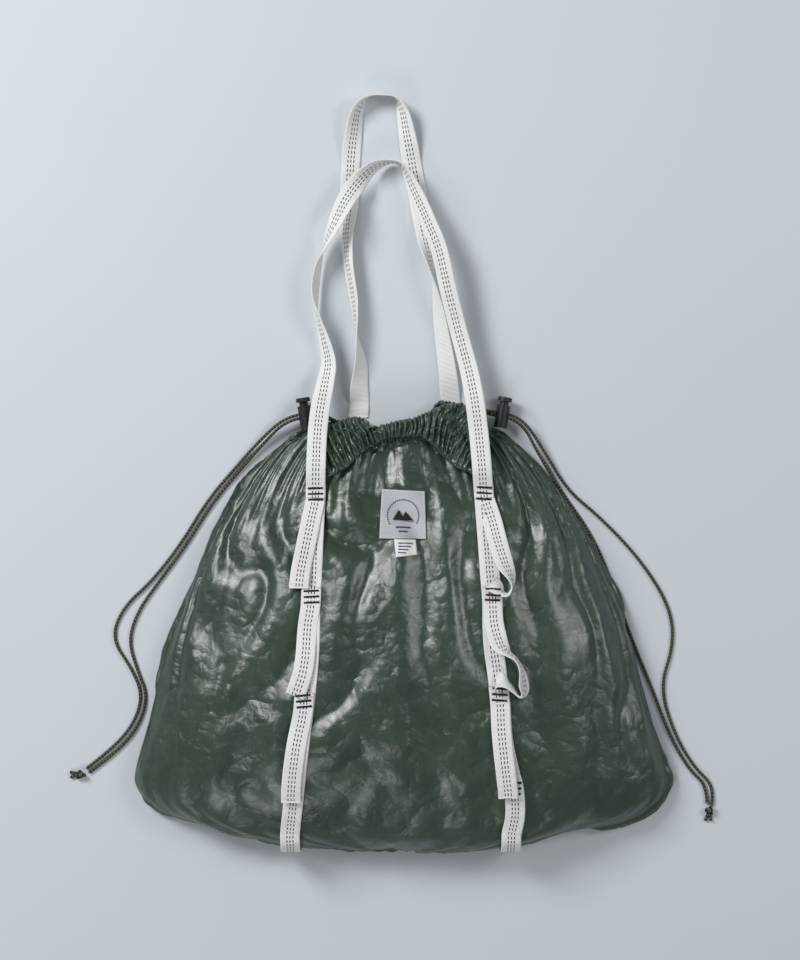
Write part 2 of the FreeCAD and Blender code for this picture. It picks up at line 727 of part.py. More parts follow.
def add_slot(sketch, low, high, half_wide):
    """Slot along the sketch's vertical, from low to high, with round ends."""
    bottom = Vector(0, low + half_wide, 0)
    top = Vector(0, high - half_wide, 0)
    side = Vector(half_wide, 0, 0)
    up = Vector(0, 0, 1)
    lines = [
        Part.LineSegment(bottom + side, top + side),
        Part.LineSegment(top - side, bottom - side),
        Part.ArcOfCircle(Part.Circle(top, up, half_wide), 0.0, math.pi),
        Part.ArcOfCircle(Part.Circle(bottom, up, half_wide), math.pi, 2.0 * math.pi),
    ]
    sketch.addGeometry(lines, False)


def add_pad(body, sketch, name, expression, reverse=False):
    """Pad of a sketch with its length bound to the sheet."""
    pad = body.newObject("PartDesign::Pad", name)
    pad.Profile = sketch
    pad.Reversed = reverse
    pad.setExpression("Length", expression)
    return pad


def add_pocket_through(body, sketch, name):
    """Pocket through the whole body, both ways from its sketch."""
    pocket = body.newObject("PartDesign::Pocket", name)
    pocket.Profile = sketch
    pocket.Type = "ThroughAll"
    pocket.Midplane = True
    return pocket


def lock_placement(lock):
    """Turns a lock's own +Z to the barrel's axis and its own X to the cord's direction."""
    axis = lock_axis(lock)
    across = cord_direction(lock)
    return Placement(lock["slot"], Rotation(across, axis.cross(across), axis, "ZXY"))


def slot_reach():
    """Half length of the barrel's cord slot, and half of its width."""
    radius = size("cord_diameter") / 2.0 + size("slot_clearance")
    return radius + size("cord_pitch") / 2.0, radius


def add_barrel(name, lock):
    """Barrel with a closed bottom, a bore for the plunger and an oval slot for the two strands."""
    label = "lock_barrel_" + name
    body = doc.addObject("PartDesign::Body", label)
    body.Label = label
    outer = add_sketch(body, "BarrelOutline_" + name, "XY_Plane", -size("lock_bottom"))
    outer.setExpression(".AttachmentOffset.Base.z", "-Sizes.lock_bottom")
    add_circle(outer, "Sizes.lock_diameter")
    add_pad(body, outer, "BarrelPad_" + name, "Sizes.lock_bottom + Sizes.lock_top")
    doc.recompute()
    full = body.Shape.Volume
    bore = add_sketch(body, "BoreOutline_" + name, "XY_Plane", size("lock_top"))
    bore.setExpression(".AttachmentOffset.Base.z", "Sizes.lock_top")
    add_circle(bore, "Sizes.lock_bore")
    hollow = body.newObject("PartDesign::Pocket", "Bore_" + name)
    hollow.Profile = bore
    hollow.setExpression("Length", "Sizes.lock_bottom + Sizes.lock_top - Sizes.lock_floor")
    doc.recompute()
    bored = body.Shape.Volume
    slot = add_sketch(body, "SlotOutline_" + name, "YZ_Plane")
    reach, half_wide = slot_reach()
    add_slot(slot, -reach, reach, half_wide)
    add_pocket_through(body, slot, "Slot_" + name)
    doc.recompute()
    if not body.Shape.Volume < bored < full:
        raise RuntimeError("a cut missed the barrel of the %s lock" % name)
    body.Placement = lock_placement(lock)
    NODES.append(body)


def add_plunger(name, lock):
    """Plunger with a flanged head and a long slot, so that it clears the strands over its travel."""
    label = "lock_plunger_" + name
    body = doc.addObject("PartDesign::Body", label)
    body.Label = label
    reach, half_wide = slot_reach()
    foot = "Sizes.plunger_foot + Sizes.cord_diameter / 2 + Sizes.slot_clearance + Sizes.cord_pitch / 2"
    stem = add_sketch(body, "StemOutline_" + name, "XY_Plane", -reach - size("plunger_foot"))
    stem.setExpression(".AttachmentOffset.Base.z", "-(%s)" % foot)
    add_circle(stem, "Sizes.lock_bore - 2 * Sizes.plunger_clearance")
    add_pad(body, stem, "Stem_" + name, foot + " + Sizes.lock_top + Sizes.head_gap")
    doc.recompute()
    head = add_sketch(body, "HeadOutline_" + name, "XY_Plane", size("lock_top") + size("head_gap"))
    head.setExpression(".AttachmentOffset.Base.z", "Sizes.lock_top + Sizes.head_gap")
    add_circle(head, "Sizes.plunger_head")
    add_pad(body, head, "Head_" + name, "Sizes.head_thickness")
    doc.recompute()
    full = body.Shape.Volume
    slot = add_sketch(body, "PlungerSlotOutline_" + name, "YZ_Plane")
    add_slot(slot, -reach, reach + size("plunger_travel"), half_wide)
    add_pocket_through(body, slot, "PlungerSlot_" + name)
    doc.recompute()
    if not body.Shape.Volume < full:
        raise RuntimeError("the slot missed the plunger of the %s lock" % name)
    base = slot_feature(body)
    head_top = size("lock_top") + size("head_gap") + size("head_thickness")
    top_edges = []
    for index, edge in enumerate(base.Shape.Edges, start=1):
        if edge.BoundBox.ZMin > head_top - 0.01:
            top_edges.append("Edge%d" % index)
    rim = body.newObject("PartDesign::Fillet", "HeadRim_" + name)
    rim.Base = (base, top_edges)
    rim.setExpression("Radius", "Sizes.head_thickness / 4")
    body.Tip = rim
    doc.recompute()
    body.Placement = lock_placement(lock)
    NODES.append(body)


def slot_feature(body):
    """The last solid feature of a body before its fillet."""
    return [item for item in body.Group if item.TypeId == "PartDesign::Pocket"][-1]


def add_spring(name, lock):
    """Compression spring between the barrel's floor and the plunger's foot."""
    reach, half_wide = slot_reach()
    wire = size("spring_wire")
    low = -size("lock_bottom") + size("lock_floor") + wire / 2.0 + 0.05
    high = -reach - size("plunger_foot") - wire / 2.0 - 0.05
    radius = (size("spring_diameter") - wire) / 2.0
    helix = Part.makeHelix((high - low) / size("spring_turns"), high - low, radius)
    circle = Part.Wire(Part.Circle(Vector(radius, 0, 0), Vector(0, 1, 0), wire / 2.0).toShape())
    pipe = Part.BRepOffsetAPI.MakePipeShell(Part.Wire(helix.Edges))
    pipe.setFrenetMode(True)
    pipe.add(circle)
    pipe.build()
    pipe.makeSolid()
    foot = Placement(Vector(0, 0, low), Rotation())
    add_shape("lock_spring_" + name, pipe.shape(), lock_placement(lock).multiply(foot))


# ---------------------------------------------------------------- the bag, piece by piece
add_panels()
add_shape("hem_front", hem_half(True))
add_shape("hem_back", hem_half(False))
add_base("base_webbing_left", LEFT_LEG)
add_base("base_webbing_right", RIGHT_LEG)
add_wrap("bottom_wrap_left", LEFT_LEG)
add_wrap("bottom_wrap_right", RIGHT_LEG)
add_back_leg("back_webbing_left", BACK_LEFT_LEG)
add_back_leg("back_webbing_right", BACK_RIGHT_LEG)
add_daisy("daisy_webbing_left", LEFT_LEG)
add_daisy("daisy_webbing_right", RIGHT_LEG)
add_tacks("bartacks_left", LEFT_LEG)
add_tacks("bartacks_right", RIGHT_LEG)
HINGE_Y, HINGE_Z = add_front_handle()
add_back_handle()
add_labels()
for lock_name, lock_place in LOCKS.items():
    add_barrel(lock_name, lock_place)
    add_plunger(lock_name, lock_place)
    add_spring(lock_name, lock_place)
    add_hem_cord("hem_cord_" + lock_name, lock_place)
add_strand("tail_left_outer", LOCKS["left"], 1, LEFT_OUTER)
add_strand("tail_left_inner", LOCKS["left"], -1, LEFT_INNER)
add_strand("tail_right_outer", LOCKS["right"], 1, RIGHT_OUTER)
add_strand("tail_right_inner", LOCKS["right"], -1, RIGHT_INNER)
add_knot("knot_left", (-314.5, -298.5), Vector(-1, -0.35, 0), [(-11.0, 1.5), (-10.5, -3.5)])
add_knot("knot_right", (302.0, -334.0), Vector(0, -1, 0), [(-3.0, -11.0), (2.5, -11.0)])
doc.recompute()

# ---------------------------------------------------------------- checks and files
print("cord bend radii: smallest %.1f of %d" % (min(CORD_RADII), len(CORD_RADII)))
print("front hinge at y %.2f, z %.2f" % (HINGE_Y, HINGE_Z))
for item in doc.Objects:
    if "Invalid" in item.State or "Error" in item.State:
        raise RuntimeError("%s failed: %s" % (item.Label, item.State))
for node in NODES:
    if node.Shape.isNull() or not node.Shape.isValid():
        raise RuntimeError("%s has no valid shape" % node.Label)
os.makedirs("parts", exist_ok=True)
for node in NODES:
    node.Shape.exportStep("parts/%s.step" % node.Label)
print("%d nodes" % len(NODES))
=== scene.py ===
import math

import bpy
import numpy as np
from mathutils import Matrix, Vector
from mathutils.bvhtree import BVHTree


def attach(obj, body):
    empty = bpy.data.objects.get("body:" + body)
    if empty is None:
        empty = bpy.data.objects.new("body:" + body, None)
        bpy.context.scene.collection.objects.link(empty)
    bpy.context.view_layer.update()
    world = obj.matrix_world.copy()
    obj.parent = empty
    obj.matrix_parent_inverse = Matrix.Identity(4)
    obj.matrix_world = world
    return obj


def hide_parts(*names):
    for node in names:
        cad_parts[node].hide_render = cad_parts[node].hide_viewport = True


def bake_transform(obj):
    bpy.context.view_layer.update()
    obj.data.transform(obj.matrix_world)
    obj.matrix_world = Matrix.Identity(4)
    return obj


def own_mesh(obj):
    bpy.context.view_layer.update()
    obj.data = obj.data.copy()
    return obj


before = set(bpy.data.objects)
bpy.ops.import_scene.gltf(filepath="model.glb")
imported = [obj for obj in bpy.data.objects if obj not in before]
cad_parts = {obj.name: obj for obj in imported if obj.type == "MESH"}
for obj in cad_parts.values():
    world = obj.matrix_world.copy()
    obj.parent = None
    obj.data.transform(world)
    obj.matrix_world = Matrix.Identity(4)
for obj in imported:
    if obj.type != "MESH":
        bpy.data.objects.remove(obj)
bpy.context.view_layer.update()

# Lengths below are in millimetres, in the CAD frame; meshes are made in metres.
MM = 0.001
WIDTH = 19.0             # webbing
THICK = 1.4
CORD_RADIUS = 1.5

# ---------------------------------------------------------------- the bag's form, as in the CAD model
BOTTOM_Y = -372.0
MOUTH_Y = 40.0
HIP_Y = -300.0
CROWN_Y = -240.0
HIP_HALF = 268.0
MOUTH_HALF = 82.0
CROWN_Z = 95.0
MOUTH_Z = 34.0
END_Z = 34.0
SEAM_Z = 22.0
MOUTH_SEAM_Z = 12.0
REST_Z = 1.8


def half_width(y):
    """Half width of the bag's outline at y."""
    down = np.clip((MOUTH_Y - y) / (MOUTH_Y - HIP_Y), 0.0, 1.0)
    upper = MOUTH_HALF + (HIP_HALF - MOUTH_HALF) * down ** 0.45
    below = np.clip((HIP_Y - y) / (HIP_Y - BOTTOM_Y), 0.0, 0.993)
    lower = HIP_HALF * (1.0 - below ** 2.5) ** 0.45
    return np.where(y >= HIP_Y, upper, lower)


def crown(y):
    """Height of the bag's centre line at y."""
    down = np.clip((MOUTH_Y - y) / (MOUTH_Y - CROWN_Y), 0.0, 1.0)
    upper = MOUTH_Z + (CROWN_Z - MOUTH_Z) * np.sin(np.pi / 2.0 * down)
    below = np.clip((CROWN_Y - y) / (CROWN_Y - BOTTOM_Y), 0.0, 0.996)
    lower = END_Z + (CROWN_Z - END_Z) * (1.0 - below ** 2.2) ** 0.6
    return np.where(y >= CROWN_Y, upper, lower)


def seam(y):
    """Height of the side seam at y."""
    down = np.clip((MOUTH_Y - y) / (MOUTH_Y - HIP_Y), 0.0, 1.0)
    return MOUTH_SEAM_Z + (SEAM_Z - MOUTH_SEAM_Z) * down


def top_height(x, y):
    """Height of the front face."""
    across = np.clip(np.abs(x) / half_width(y), 0.0, 1.0)
    return seam(y) + (crown(y) - seam(y)) * (1.0 - across ** 2.6) ** 0.7


def under_height(x, y):
    """Height of the back face."""
    across = np.clip(np.abs(x) / half_width(y), 0.0, 1.0)
    return REST_Z + (seam(y) - REST_Z) * across ** 6.0


# ---------------------------------------------------------------- repeatable noise
def hashed(i, j, k, seed):
    """A fixed number from 0 to 1 for each lattice cell."""
    n = (i * 73856093) ^ (j * 19349663) ^ (k * 83492791) ^ (seed * 668265263)
    n = (n ^ (n >> 13)) * 1274126177
    n = n ^ (n >> 16)
    return (n & 0xFFFF) / 65535.0


def noise(points, seed):
    """Smooth value noise from -1 to 1 at an (n, 3) array of points."""
    cell = np.floor(points).astype(np.int64)
    part = points - cell
    part = part * part * (3.0 - 2.0 * part)
    total = np.zeros(len(points))
    for corner in range(8):
        bits = np.array([corner & 1, (corner >> 1) & 1, (corner >> 2) & 1])
        weight = np.prod(np.where(bits, part, 1.0 - part), axis=1)
        at = cell + bits
        total += weight * hashed(at[:, 0], at[:, 1], at[:, 2], seed)
    return total * 2.0 - 1.0


def noise_at(a, b, c, seed):
    """Noise at three coordinates, each an array or a number."""
    return noise(np.stack(np.broadcast_arrays(a, b, c), axis=1), seed)


def crumple(points, scale, seed, planes=6):
    """Faceted relief with sharp creases, like crushed thin nylon; about -1 to 1."""
    rng = np.random.default_rng(seed)
    q = points / scale
    warp = np.stack([noise(q * 0.8 + 11.0 * axis, seed + axis) for axis in range(3)], axis=1)
    q = q + 0.55 * warp
    total = np.zeros(len(points))
    for index in range(planes):
        direction = rng.normal(size=3)
        direction[2] *= 0.35
        direction /= np.linalg.norm(direction)
        phase = rng.uniform(0.0, 1.0)
        wave = np.abs(((q @ direction + phase) % 1.0) * 2.0 - 1.0) * 2.0 - 1.0
        gate = 0.5 + 0.5 * noise(q * 0.45 + 31.0 * index, seed + 40 + index)
        total += wave * gate
    return total / (0.5 * planes)


# ---------------------------------------------------------------- meshes
def make_object(name, points, faces, material, uv=None, smooth=True):
    """Mesh object from points in millimetres."""
    mesh = bpy.data.meshes.new(name)
    scaled = np.asarray(points, float) * MM
    mesh.from_pydata([tuple(p) for p in scaled], [], [tuple(int(i) for i in f) for f in faces])
    mesh.validate()
    if uv is not None:
        layer = mesh.uv_layers.new(name="UVMap")
        for loop in mesh.loops:
            layer.data[loop.index].uv = uv[loop.vertex_index]
    for polygon in mesh.polygons:
        polygon.use_smooth = smooth
    obj = bpy.data.objects.new(name, mesh)
    bpy.context.scene.collection.objects.link(obj)
    obj.data.materials.append(material)
    return obj


def read_points(obj):
    """Mesh vertices in millimetres."""
    flat = np.zeros(len(obj.data.vertices) * 3)
    obj.data.vertices.foreach_get("co", flat)
    return flat.reshape(-1, 3) / MM


def write_points(obj, points):
    """Sets mesh vertices from millimetres."""
    obj.data.vertices.foreach_set("co", (np.asarray(points) * MM).ravel())
    obj.data.update()


def normals_of(obj):
    """Vertex normals."""
    flat = np.zeros(len(obj.data.vertices) * 3)
    obj.data.vertex_normals.foreach_get("vector", flat)
    return flat.reshape(-1, 3)


def apply_modifier(obj, modifier):
    """Applies one modifier."""
    bpy.context.view_layer.objects.active = obj
    bpy.ops.object.modifier_apply(modifier=modifier.name)


def subdivide(obj, levels=1):
    """Smooth subdivision, applied."""
    modifier = obj.modifiers.new("Smooth", "SUBSURF")
    modifier.levels = levels
    modifier.render_levels = levels
    apply_modifier(obj, modifier)


def ring_faces(rows, ring):
    """Quads of a tube of closed rings."""
    faces = []
    for row in range(rows - 1):
        for column in range(ring):
            ahead = (column + 1) % ring
            a = row * ring
            b = a + ring
            faces.append((a + column, b + column, b + ahead, a + ahead))
    return faces


def tube_faces(rows, ring):
    """Faces of a tube of rings that run the other way round, closed at both ends."""
    last = rows * ring - 1
    faces = [tuple(reversed(f)) for f in ring_faces(rows, ring)]
    return faces + [tuple(range(ring)), tuple(range(last, last - ring, -1))]


def thicken(obj, thickness, offset):
    """Gives a sheet a thickness in millimetres: outwards at offset 1, inwards at -1."""
    solid = obj.modifiers.new("Thickness", "SOLIDIFY")
    solid.thickness = thickness * MM
    solid.offset = offset
    apply_modifier(obj, solid)


def grid_faces(rows, columns):
    """Quads of an open grid."""
    faces = []
    for row in range(rows - 1):
        for column in range(columns - 1):
            a = row * columns + column
            faces.append((a, a + columns, a + columns + 1, a + 1))
    return faces


def belongs(obj, slot_name, *cad_nodes):
    """Puts a piece on the bag's body, in place of the CAD nodes that it stands for."""
    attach(obj, "root")
    if cad_nodes:
        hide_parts(*cad_nodes)


# ---------------------------------------------------------------- materials
class Nodes:
    """Short calls for building one material."""

    def __init__(self, name):
        self.material = bpy.data.materials.new(name)
        self.material.use_nodes = True
        self.tree = self.material.node_tree
        self.shader = self.tree.nodes["Principled BSDF"]

    def add(self, kind, **values):
        node = self.tree.nodes.new(kind)
        for key, value in values.items():
            setattr(node, key, value)
        return node

    def link(self, source, target):
        self.tree.links.new(source, target)

    def value(self, socket, thing):
        if isinstance(thing, (int, float, tuple)):
            socket.default_value = thing
        else:
            self.link(thing, socket)

    def math(self, operation, a, b=0.0, c=0.0):
        node = self.add("ShaderNodeMath", operation=operation)
        for socket, thing in zip(node.inputs, (a, b, c)):
            self.value(socket, thing)
        return node.outputs[0]

    def wave(self, along, period):
        """Sine ripple with a period in metres."""
        return self.math("SINE", self.math("MULTIPLY", along, 2.0 * math.pi / period))

    def mix(self, factor, a, b):
        node = self.add("ShaderNodeMix", data_type="RGBA")
        self.value(node.inputs[0], factor)
        self.value(node.inputs[6], a)
        self.value(node.inputs[7], b)
        return node.outputs[2]

    def ramp(self, factor, low=(0, 0, 0, 1), high=(1, 1, 1, 1), start=0.0, end=1.0):
        node = self.add("ShaderNodeValToRGB")
        node.color_ramp.elements[0].position = start
        node.color_ramp.elements[0].color = low
        node.color_ramp.elements[1].position = end
        node.color_ramp.elements[1].color = high
        self.link(factor, node.inputs[0])
        return node.outputs[0]

    def object_coordinates(self):
        return self.add("ShaderNodeTexCoord").outputs["Object"]

    def uv(self):
        return self.add("ShaderNodeTexCoord").outputs["UV"]

    def noise(self, vector, scale, detail=4.0, rough=0.55):
        node = self.add("ShaderNodeTexNoise")
        self.link(vector, node.inputs["Vector"])
        for key, value in (("Scale", scale), ("Detail", detail), ("Roughness", rough)):
            node.inputs[key].default_value = value
        return node.outputs

    def warped(self, vector, scale, strength):
        moved = self.noise(vector, scale, 2.0)["Color"]
        shift = self.add("ShaderNodeVectorMath", operation="SCALE")
        self.link(moved, shift.inputs[0])
        shift.inputs["Scale"].default_value = strength
        total = self.add("ShaderNodeVectorMath", operation="ADD")
        self.link(vector, total.inputs[0])
        self.link(shift.outputs[0], total.inputs[1])
        return total.outputs[0]

    def bump(self, height, distance, strength=1.0, normal=None):
        node = self.add("ShaderNodeBump")
        node.inputs["Strength"].default_value = strength
        node.inputs["Distance"].default_value = distance
        self.link(height, node.inputs["Height"])
        if normal is not None:
            self.link(normal, node.inputs["Normal"])
        return node.outputs[0]

    def finish(self, color, roughness, normal=None, specular=0.5):
        self.value(self.shader.inputs["Base Color"], color)
        self.value(self.shader.inputs["Roughness"], roughness)
        self.shader.inputs["Specular IOR Level"].default_value = specular
        if normal is not None:
            self.link(normal, self.shader.inputs["Normal"])
        return self.material


def grey(level):
    """Opaque grey."""
    return (level, level, level, 1)


WEAVE = 2.0 * math.pi / 7000.0       # metres between two threads of the nylon


def nylon_material(name, dark, light, facets):
    """Thin coated nylon: sharp creases, fine wrinkles, a faint weave and uneven gloss."""
    n = Nodes(name)
    where = n.object_coordinates()

    def creases(scale, bend, seed):
        moved = n.warped(where, scale * 0.6, bend)
        shifted = n.add("ShaderNodeVectorMath", operation="ADD")
        n.link(moved, shifted.inputs[0])
        shifted.inputs[1].default_value = (seed, seed * 0.7, seed * 1.3)
        smooth = n.noise(shifted.outputs[0], scale, 1.5, 0.45)["Fac"]
        return n.math("ABSOLUTE", n.math("SUBTRACT", smooth, 0.5))

    large = creases(17.0, 0.03, 0.0)
    medium = creases(38.0, 0.012, 3.1)
    small = creases(95.0, 0.005, 7.7)
    fine = n.noise(n.warped(where, 60.0, 0.01), 240.0, 5.0, 0.6)["Fac"]
    weave = n.math("MULTIPLY", n.wave(split(n, where, "X"), WEAVE), n.wave(split(n, where, "Y"), WEAVE))
    normal = n.bump(large, 0.023 * facets, 0.6)
    normal = n.bump(medium, 0.0085 * facets, 0.6, normal)
    normal = n.bump(small, 0.0020 * facets, 0.6, normal)
    normal = n.bump(fine, 0.0006 * facets, 0.5, normal)
    normal = n.bump(weave, 0.00003, 0.3, normal)
    patches = n.noise(where, 9.0, 3.0)["Fac"]
    color = n.mix(n.ramp(patches, start=0.35, end=0.7), dark, light)
    gloss = n.ramp(n.noise(where, 35.0, 4.0)["Fac"], grey(0.30), grey(0.46), 0.3, 0.75)
    material = n.finish(color, gloss, normal, 0.6)
    n.shader.inputs["Coat Weight"].default_value = 0.45
    n.shader.inputs["Coat Roughness"].default_value = 0.24
    return material


def split(n, vector, axis):
    """One coordinate of a vector."""
    node = n.add("ShaderNodeSeparateXYZ")
    n.link(vector, node.inputs[0])
    return node.outputs[axis]


def webbing_material():
    """White ribbed webbing with three lines of black ticks on one face.

    The map's first coordinate runs across the width from -0.5 to 0.5 on the ticked face and
    is 2 more on the plain face; the second is the length in metres."""
    n = Nodes("webbing")
    where = n.uv()
    across = split(n, where, "X")
    along = split(n, where, "Y")
    rib = n.wave(along, 1.25 * MM)
    lines = None
    for offset in (-2.9, 0.0, 2.9):
        away = n.math("ABSOLUTE", n.math("SUBTRACT", n.math("MULTIPLY", across, WIDTH), offset))
        line = n.math("LESS_THAN", away, 0.5)
        lines = line if lines is None else n.math("MAXIMUM", lines, line)
    beat = n.math("FRACT", n.math("DIVIDE", along, 4.5 * MM))
    tick = n.math("MULTIPLY", lines, n.math("LESS_THAN", beat, 0.6))
    threads = n.noise(n.object_coordinates(), 900.0, 2.0)["Fac"]
    dirt = n.noise(n.object_coordinates(), 30.0, 3.0)["Fac"]
    white = n.mix(n.ramp(dirt, start=0.3, end=0.8), (0.82, 0.82, 0.80, 1), (0.9, 0.9, 0.89, 1))
    # Painted shade: the white turns greyer in the grooves between the ribs.
    groove_shade = n.math("MULTIPLY_ADD", rib, 0.035, 0.965)
    ribbed = n.mix(n.math("SUBTRACT", 1.0, groove_shade), white, (0.42, 0.42, 0.4, 1))
    ink = n.mix(threads, (0.012, 0.012, 0.014, 1), (0.05, 0.05, 0.055, 1))
    color = n.mix(tick, ribbed, ink)
    height = n.math("ADD", rib, n.math("MULTIPLY", tick, 0.9))
    normal = n.bump(height, 0.00016, 0.8)
    normal = n.bump(threads, 0.00012, 0.5, normal)
    material = n.finish(color, 0.78, normal, 0.25)
    n.shader.inputs["Sheen Weight"].default_value = 0.15
    n.shader.inputs["Sheen Roughness"].default_value = 0.5
    return material


def thread_material():
    """Black bartack thread, wound across its bar."""
    n = Nodes("bartack_thread")
    where = n.object_coordinates()
    wind = n.wave(split(n, where, "X"), 0.7 * MM)
    stray = n.noise(where, 700.0, 3.0)["Fac"]
    color = n.mix(stray, (0.006, 0.006, 0.007, 1), (0.03, 0.03, 0.032, 1))
    return n.finish(color, 0.6, n.bump(wind, 0.0003, 0.9), 0.35)


def cord_material():
    """Braided cord: black and olive with cream flecks in a helical braid.

    The map's first coordinate goes once round the cord, the second is the length in metres."""
    n = Nodes("flecked_cord")
    where = n.uv()
    around = split(n, where, "X")
    along = split(n, where, "Y")
    turns = n.math("MULTIPLY", along, 1.0 / (7.0 * MM))
    strands = n.math("MULTIPLY", around, 4.0)
    right = n.math("FRACT", n.math("ADD", turns, strands))
    left = n.math("FRACT", n.math("SUBTRACT", turns, strands))
    cream = n.math("MULTIPLY", n.math("LESS_THAN", right, 0.3), n.math("LESS_THAN", left, 0.42))
    olive = n.math("LESS_THAN", left, 0.45)
    stray = n.noise(n.object_coordinates(), 500.0, 3.0)["Fac"]
    base = n.mix(olive, (0.008, 0.010, 0.008, 1), (0.035, 0.048, 0.016, 1))
    color = n.mix(cream, base, (0.55, 0.55, 0.42, 1))
    color = n.mix(n.math("MULTIPLY", stray, 0.35), color, (0.03, 0.035, 0.02, 1))
    waves = n.math("ADD", n.wave(right, 1.0), n.wave(left, 1.0))
    return n.finish(color, 0.7, n.bump(waves, 0.00025, 0.8), 0.3)


def label_material():
    """Light grey satin with fine cross threads."""
    n = Nodes("satin_label")
    where = n.object_coordinates()
    threads = n.wave(split(n, where, "Y"), 0.45 * MM)
    cloud = n.noise(where, 40.0, 3.0)["Fac"]
    color = n.mix(cloud, (0.42, 0.44, 0.46, 1), (0.56, 0.58, 0.6, 1))
    return n.finish(color, 0.42, n.bump(threads, 0.00006, 0.8), 0.5)


def flat_cloth_material(name, low, high, roughness=0.7):
    """Small sewn or printed trim with a fine weave."""
    n = Nodes(name)
    where = n.object_coordinates()
    threads = n.noise(where, 1200.0, 2.0)["Fac"]
    color = n.mix(threads, low, high)
    return n.finish(color, roughness, n.bump(threads, 0.00012, 0.6), 0.3)


def plastic_material():
    """Moulded black acetal with a fine grain."""
    n = Nodes("lock_plastic")
    where = n.object_coordinates()
    grain = n.noise(where, 1500.0, 3.0)["Fac"]
    wear = n.noise(where, 180.0, 4.0)["Fac"]
    color = n.mix(n.ramp(wear, start=0.5, end=0.8), (0.012, 0.012, 0.013, 1), (0.03, 0.03, 0.032, 1))
    rough = n.ramp(wear, grey(0.34), grey(0.5))
    return n.finish(color, rough, n.bump(grain, 0.00005, 0.5), 0.5)


def steel_material():
    """Bright spring wire."""
    n = Nodes("spring_wire")
    marks = n.noise(n.object_coordinates(), 900.0, 3.0)["Fac"]
    material = n.finish(n.mix(marks, grey(0.5), grey(0.68)), 0.28, n.bump(marks, 0.00002, 0.4))
    n.shader.inputs["Metallic"].default_value = 1.0
    return material


NYLON = nylon_material("green_nylon", (0.021, 0.042, 0.025, 1), (0.032, 0.060, 0.036, 1), 1.0)
HEM_NYLON = nylon_material("hem_nylon", (0.022, 0.042, 0.026, 1), (0.032, 0.058, 0.037, 1), 0.55)
WEBBING = webbing_material()
THREAD = thread_material()
CORD = cord_material()
LABEL = label_material()
TAG = flat_cloth_material("white_tag", grey(0.7), grey(0.85))
EDGE_STITCH = flat_cloth_material("label_stitch", (0.75, 0.75, 0.74, 1), (0.9, 0.9, 0.88, 1))
MARK_BLUE = flat_cloth_material("mark_blue", (0.03, 0.05, 0.13, 1), (0.05, 0.08, 0.19, 1), 0.5)
PLASTIC = plastic_material()
STEEL = steel_material()


# ---------------------------------------------------------------- the fabric shell
COLUMNS = 116            # quads across one face
UPPER_ROWS = 92
LOWER_ROWS = 26
SHELL_INSET = 1.5        # the start shape is smaller, because the cloth swells
EDGE_ROW = 0.9           # last row, above the bottom edge
HANDLE_X = 79.5          # middle of each leg of the front handle
HANDLE_ROOM = 11.0       # kept clear to each side of it
CLOTH_FRAMES = 22
CLOTH_CAP = 15.0         # farthest that the simulation may move a point


def shell_rows():
    """Y of each row from the mouth to the bottom edge."""
    upper = [MOUTH_Y - (MOUTH_Y - HIP_Y) * (k / UPPER_ROWS) ** 1.18 for k in range(UPPER_ROWS)]
    reach = HIP_Y - BOTTOM_Y - 1.0
    lower = [HIP_Y - reach * math.sin(math.pi / 2.0 * k / LOWER_ROWS) for k in range(LOWER_ROWS)]
    return np.array(upper + lower + [BOTTOM_Y + EDGE_ROW])


def hem_edge_y(x):
    """Upper edge of the mouth."""
    xs = [-84, -74, -66, -56, -44, -36, -31, -27, -22, -10, 4, 18, 29, 33, 38, 50, 62, 72, 84]
    ys = [38, 46, 50, 51, 52, 50, 45, 41, 43, 47, 50, 54, 59, 64, 67, 68, 66, 60, 48]
    return np.interp(x, xs, ys)


def hem_stitch_y(x):
    """Line of stitching below the drawcord channel on the front."""
    xs = [-84, -74, -62, -50, -38, -26, -14, 4, 20, 32, 46, 58, 68, 84]
    ys = [-9, -7, -4, 2, 14, 25, 30, 32, 31, 23, 6, -1, -5, -8]
    return np.interp(x, xs, ys)


def pleats(across, down, seed):
    """Gathers that fan out from the mouth; across is -1 to 1, down is the distance below it."""
    drift = noise_at(across * 3.0, down * 0.008, 0.0, seed)
    jitter = noise_at(across * 9.0, down * 0.02, 1.0, seed + 1)

    def ridge(count, shift):
        wave = np.sin(math.pi * count * across + shift * drift + 1.2 * jitter)
        return 1.0 - 2.0 * np.abs(wave)

    broad = ridge(5.5, 2.6) * 11.0 * np.exp(-down / 190.0) * np.clip(down / 50.0, 0.2, 1.0)
    middle = ridge(12.0, 3.5) * 4.6 * np.exp(-down / 90.0)
    narrow = ridge(27.0, 3.0) * 2.6 * np.exp(-down / 36.0)
    gate = 0.65 + 0.5 * noise_at(across * 4.0, down * 0.012, 2.0, seed + 2)
    return (broad + middle) * gate + narrow


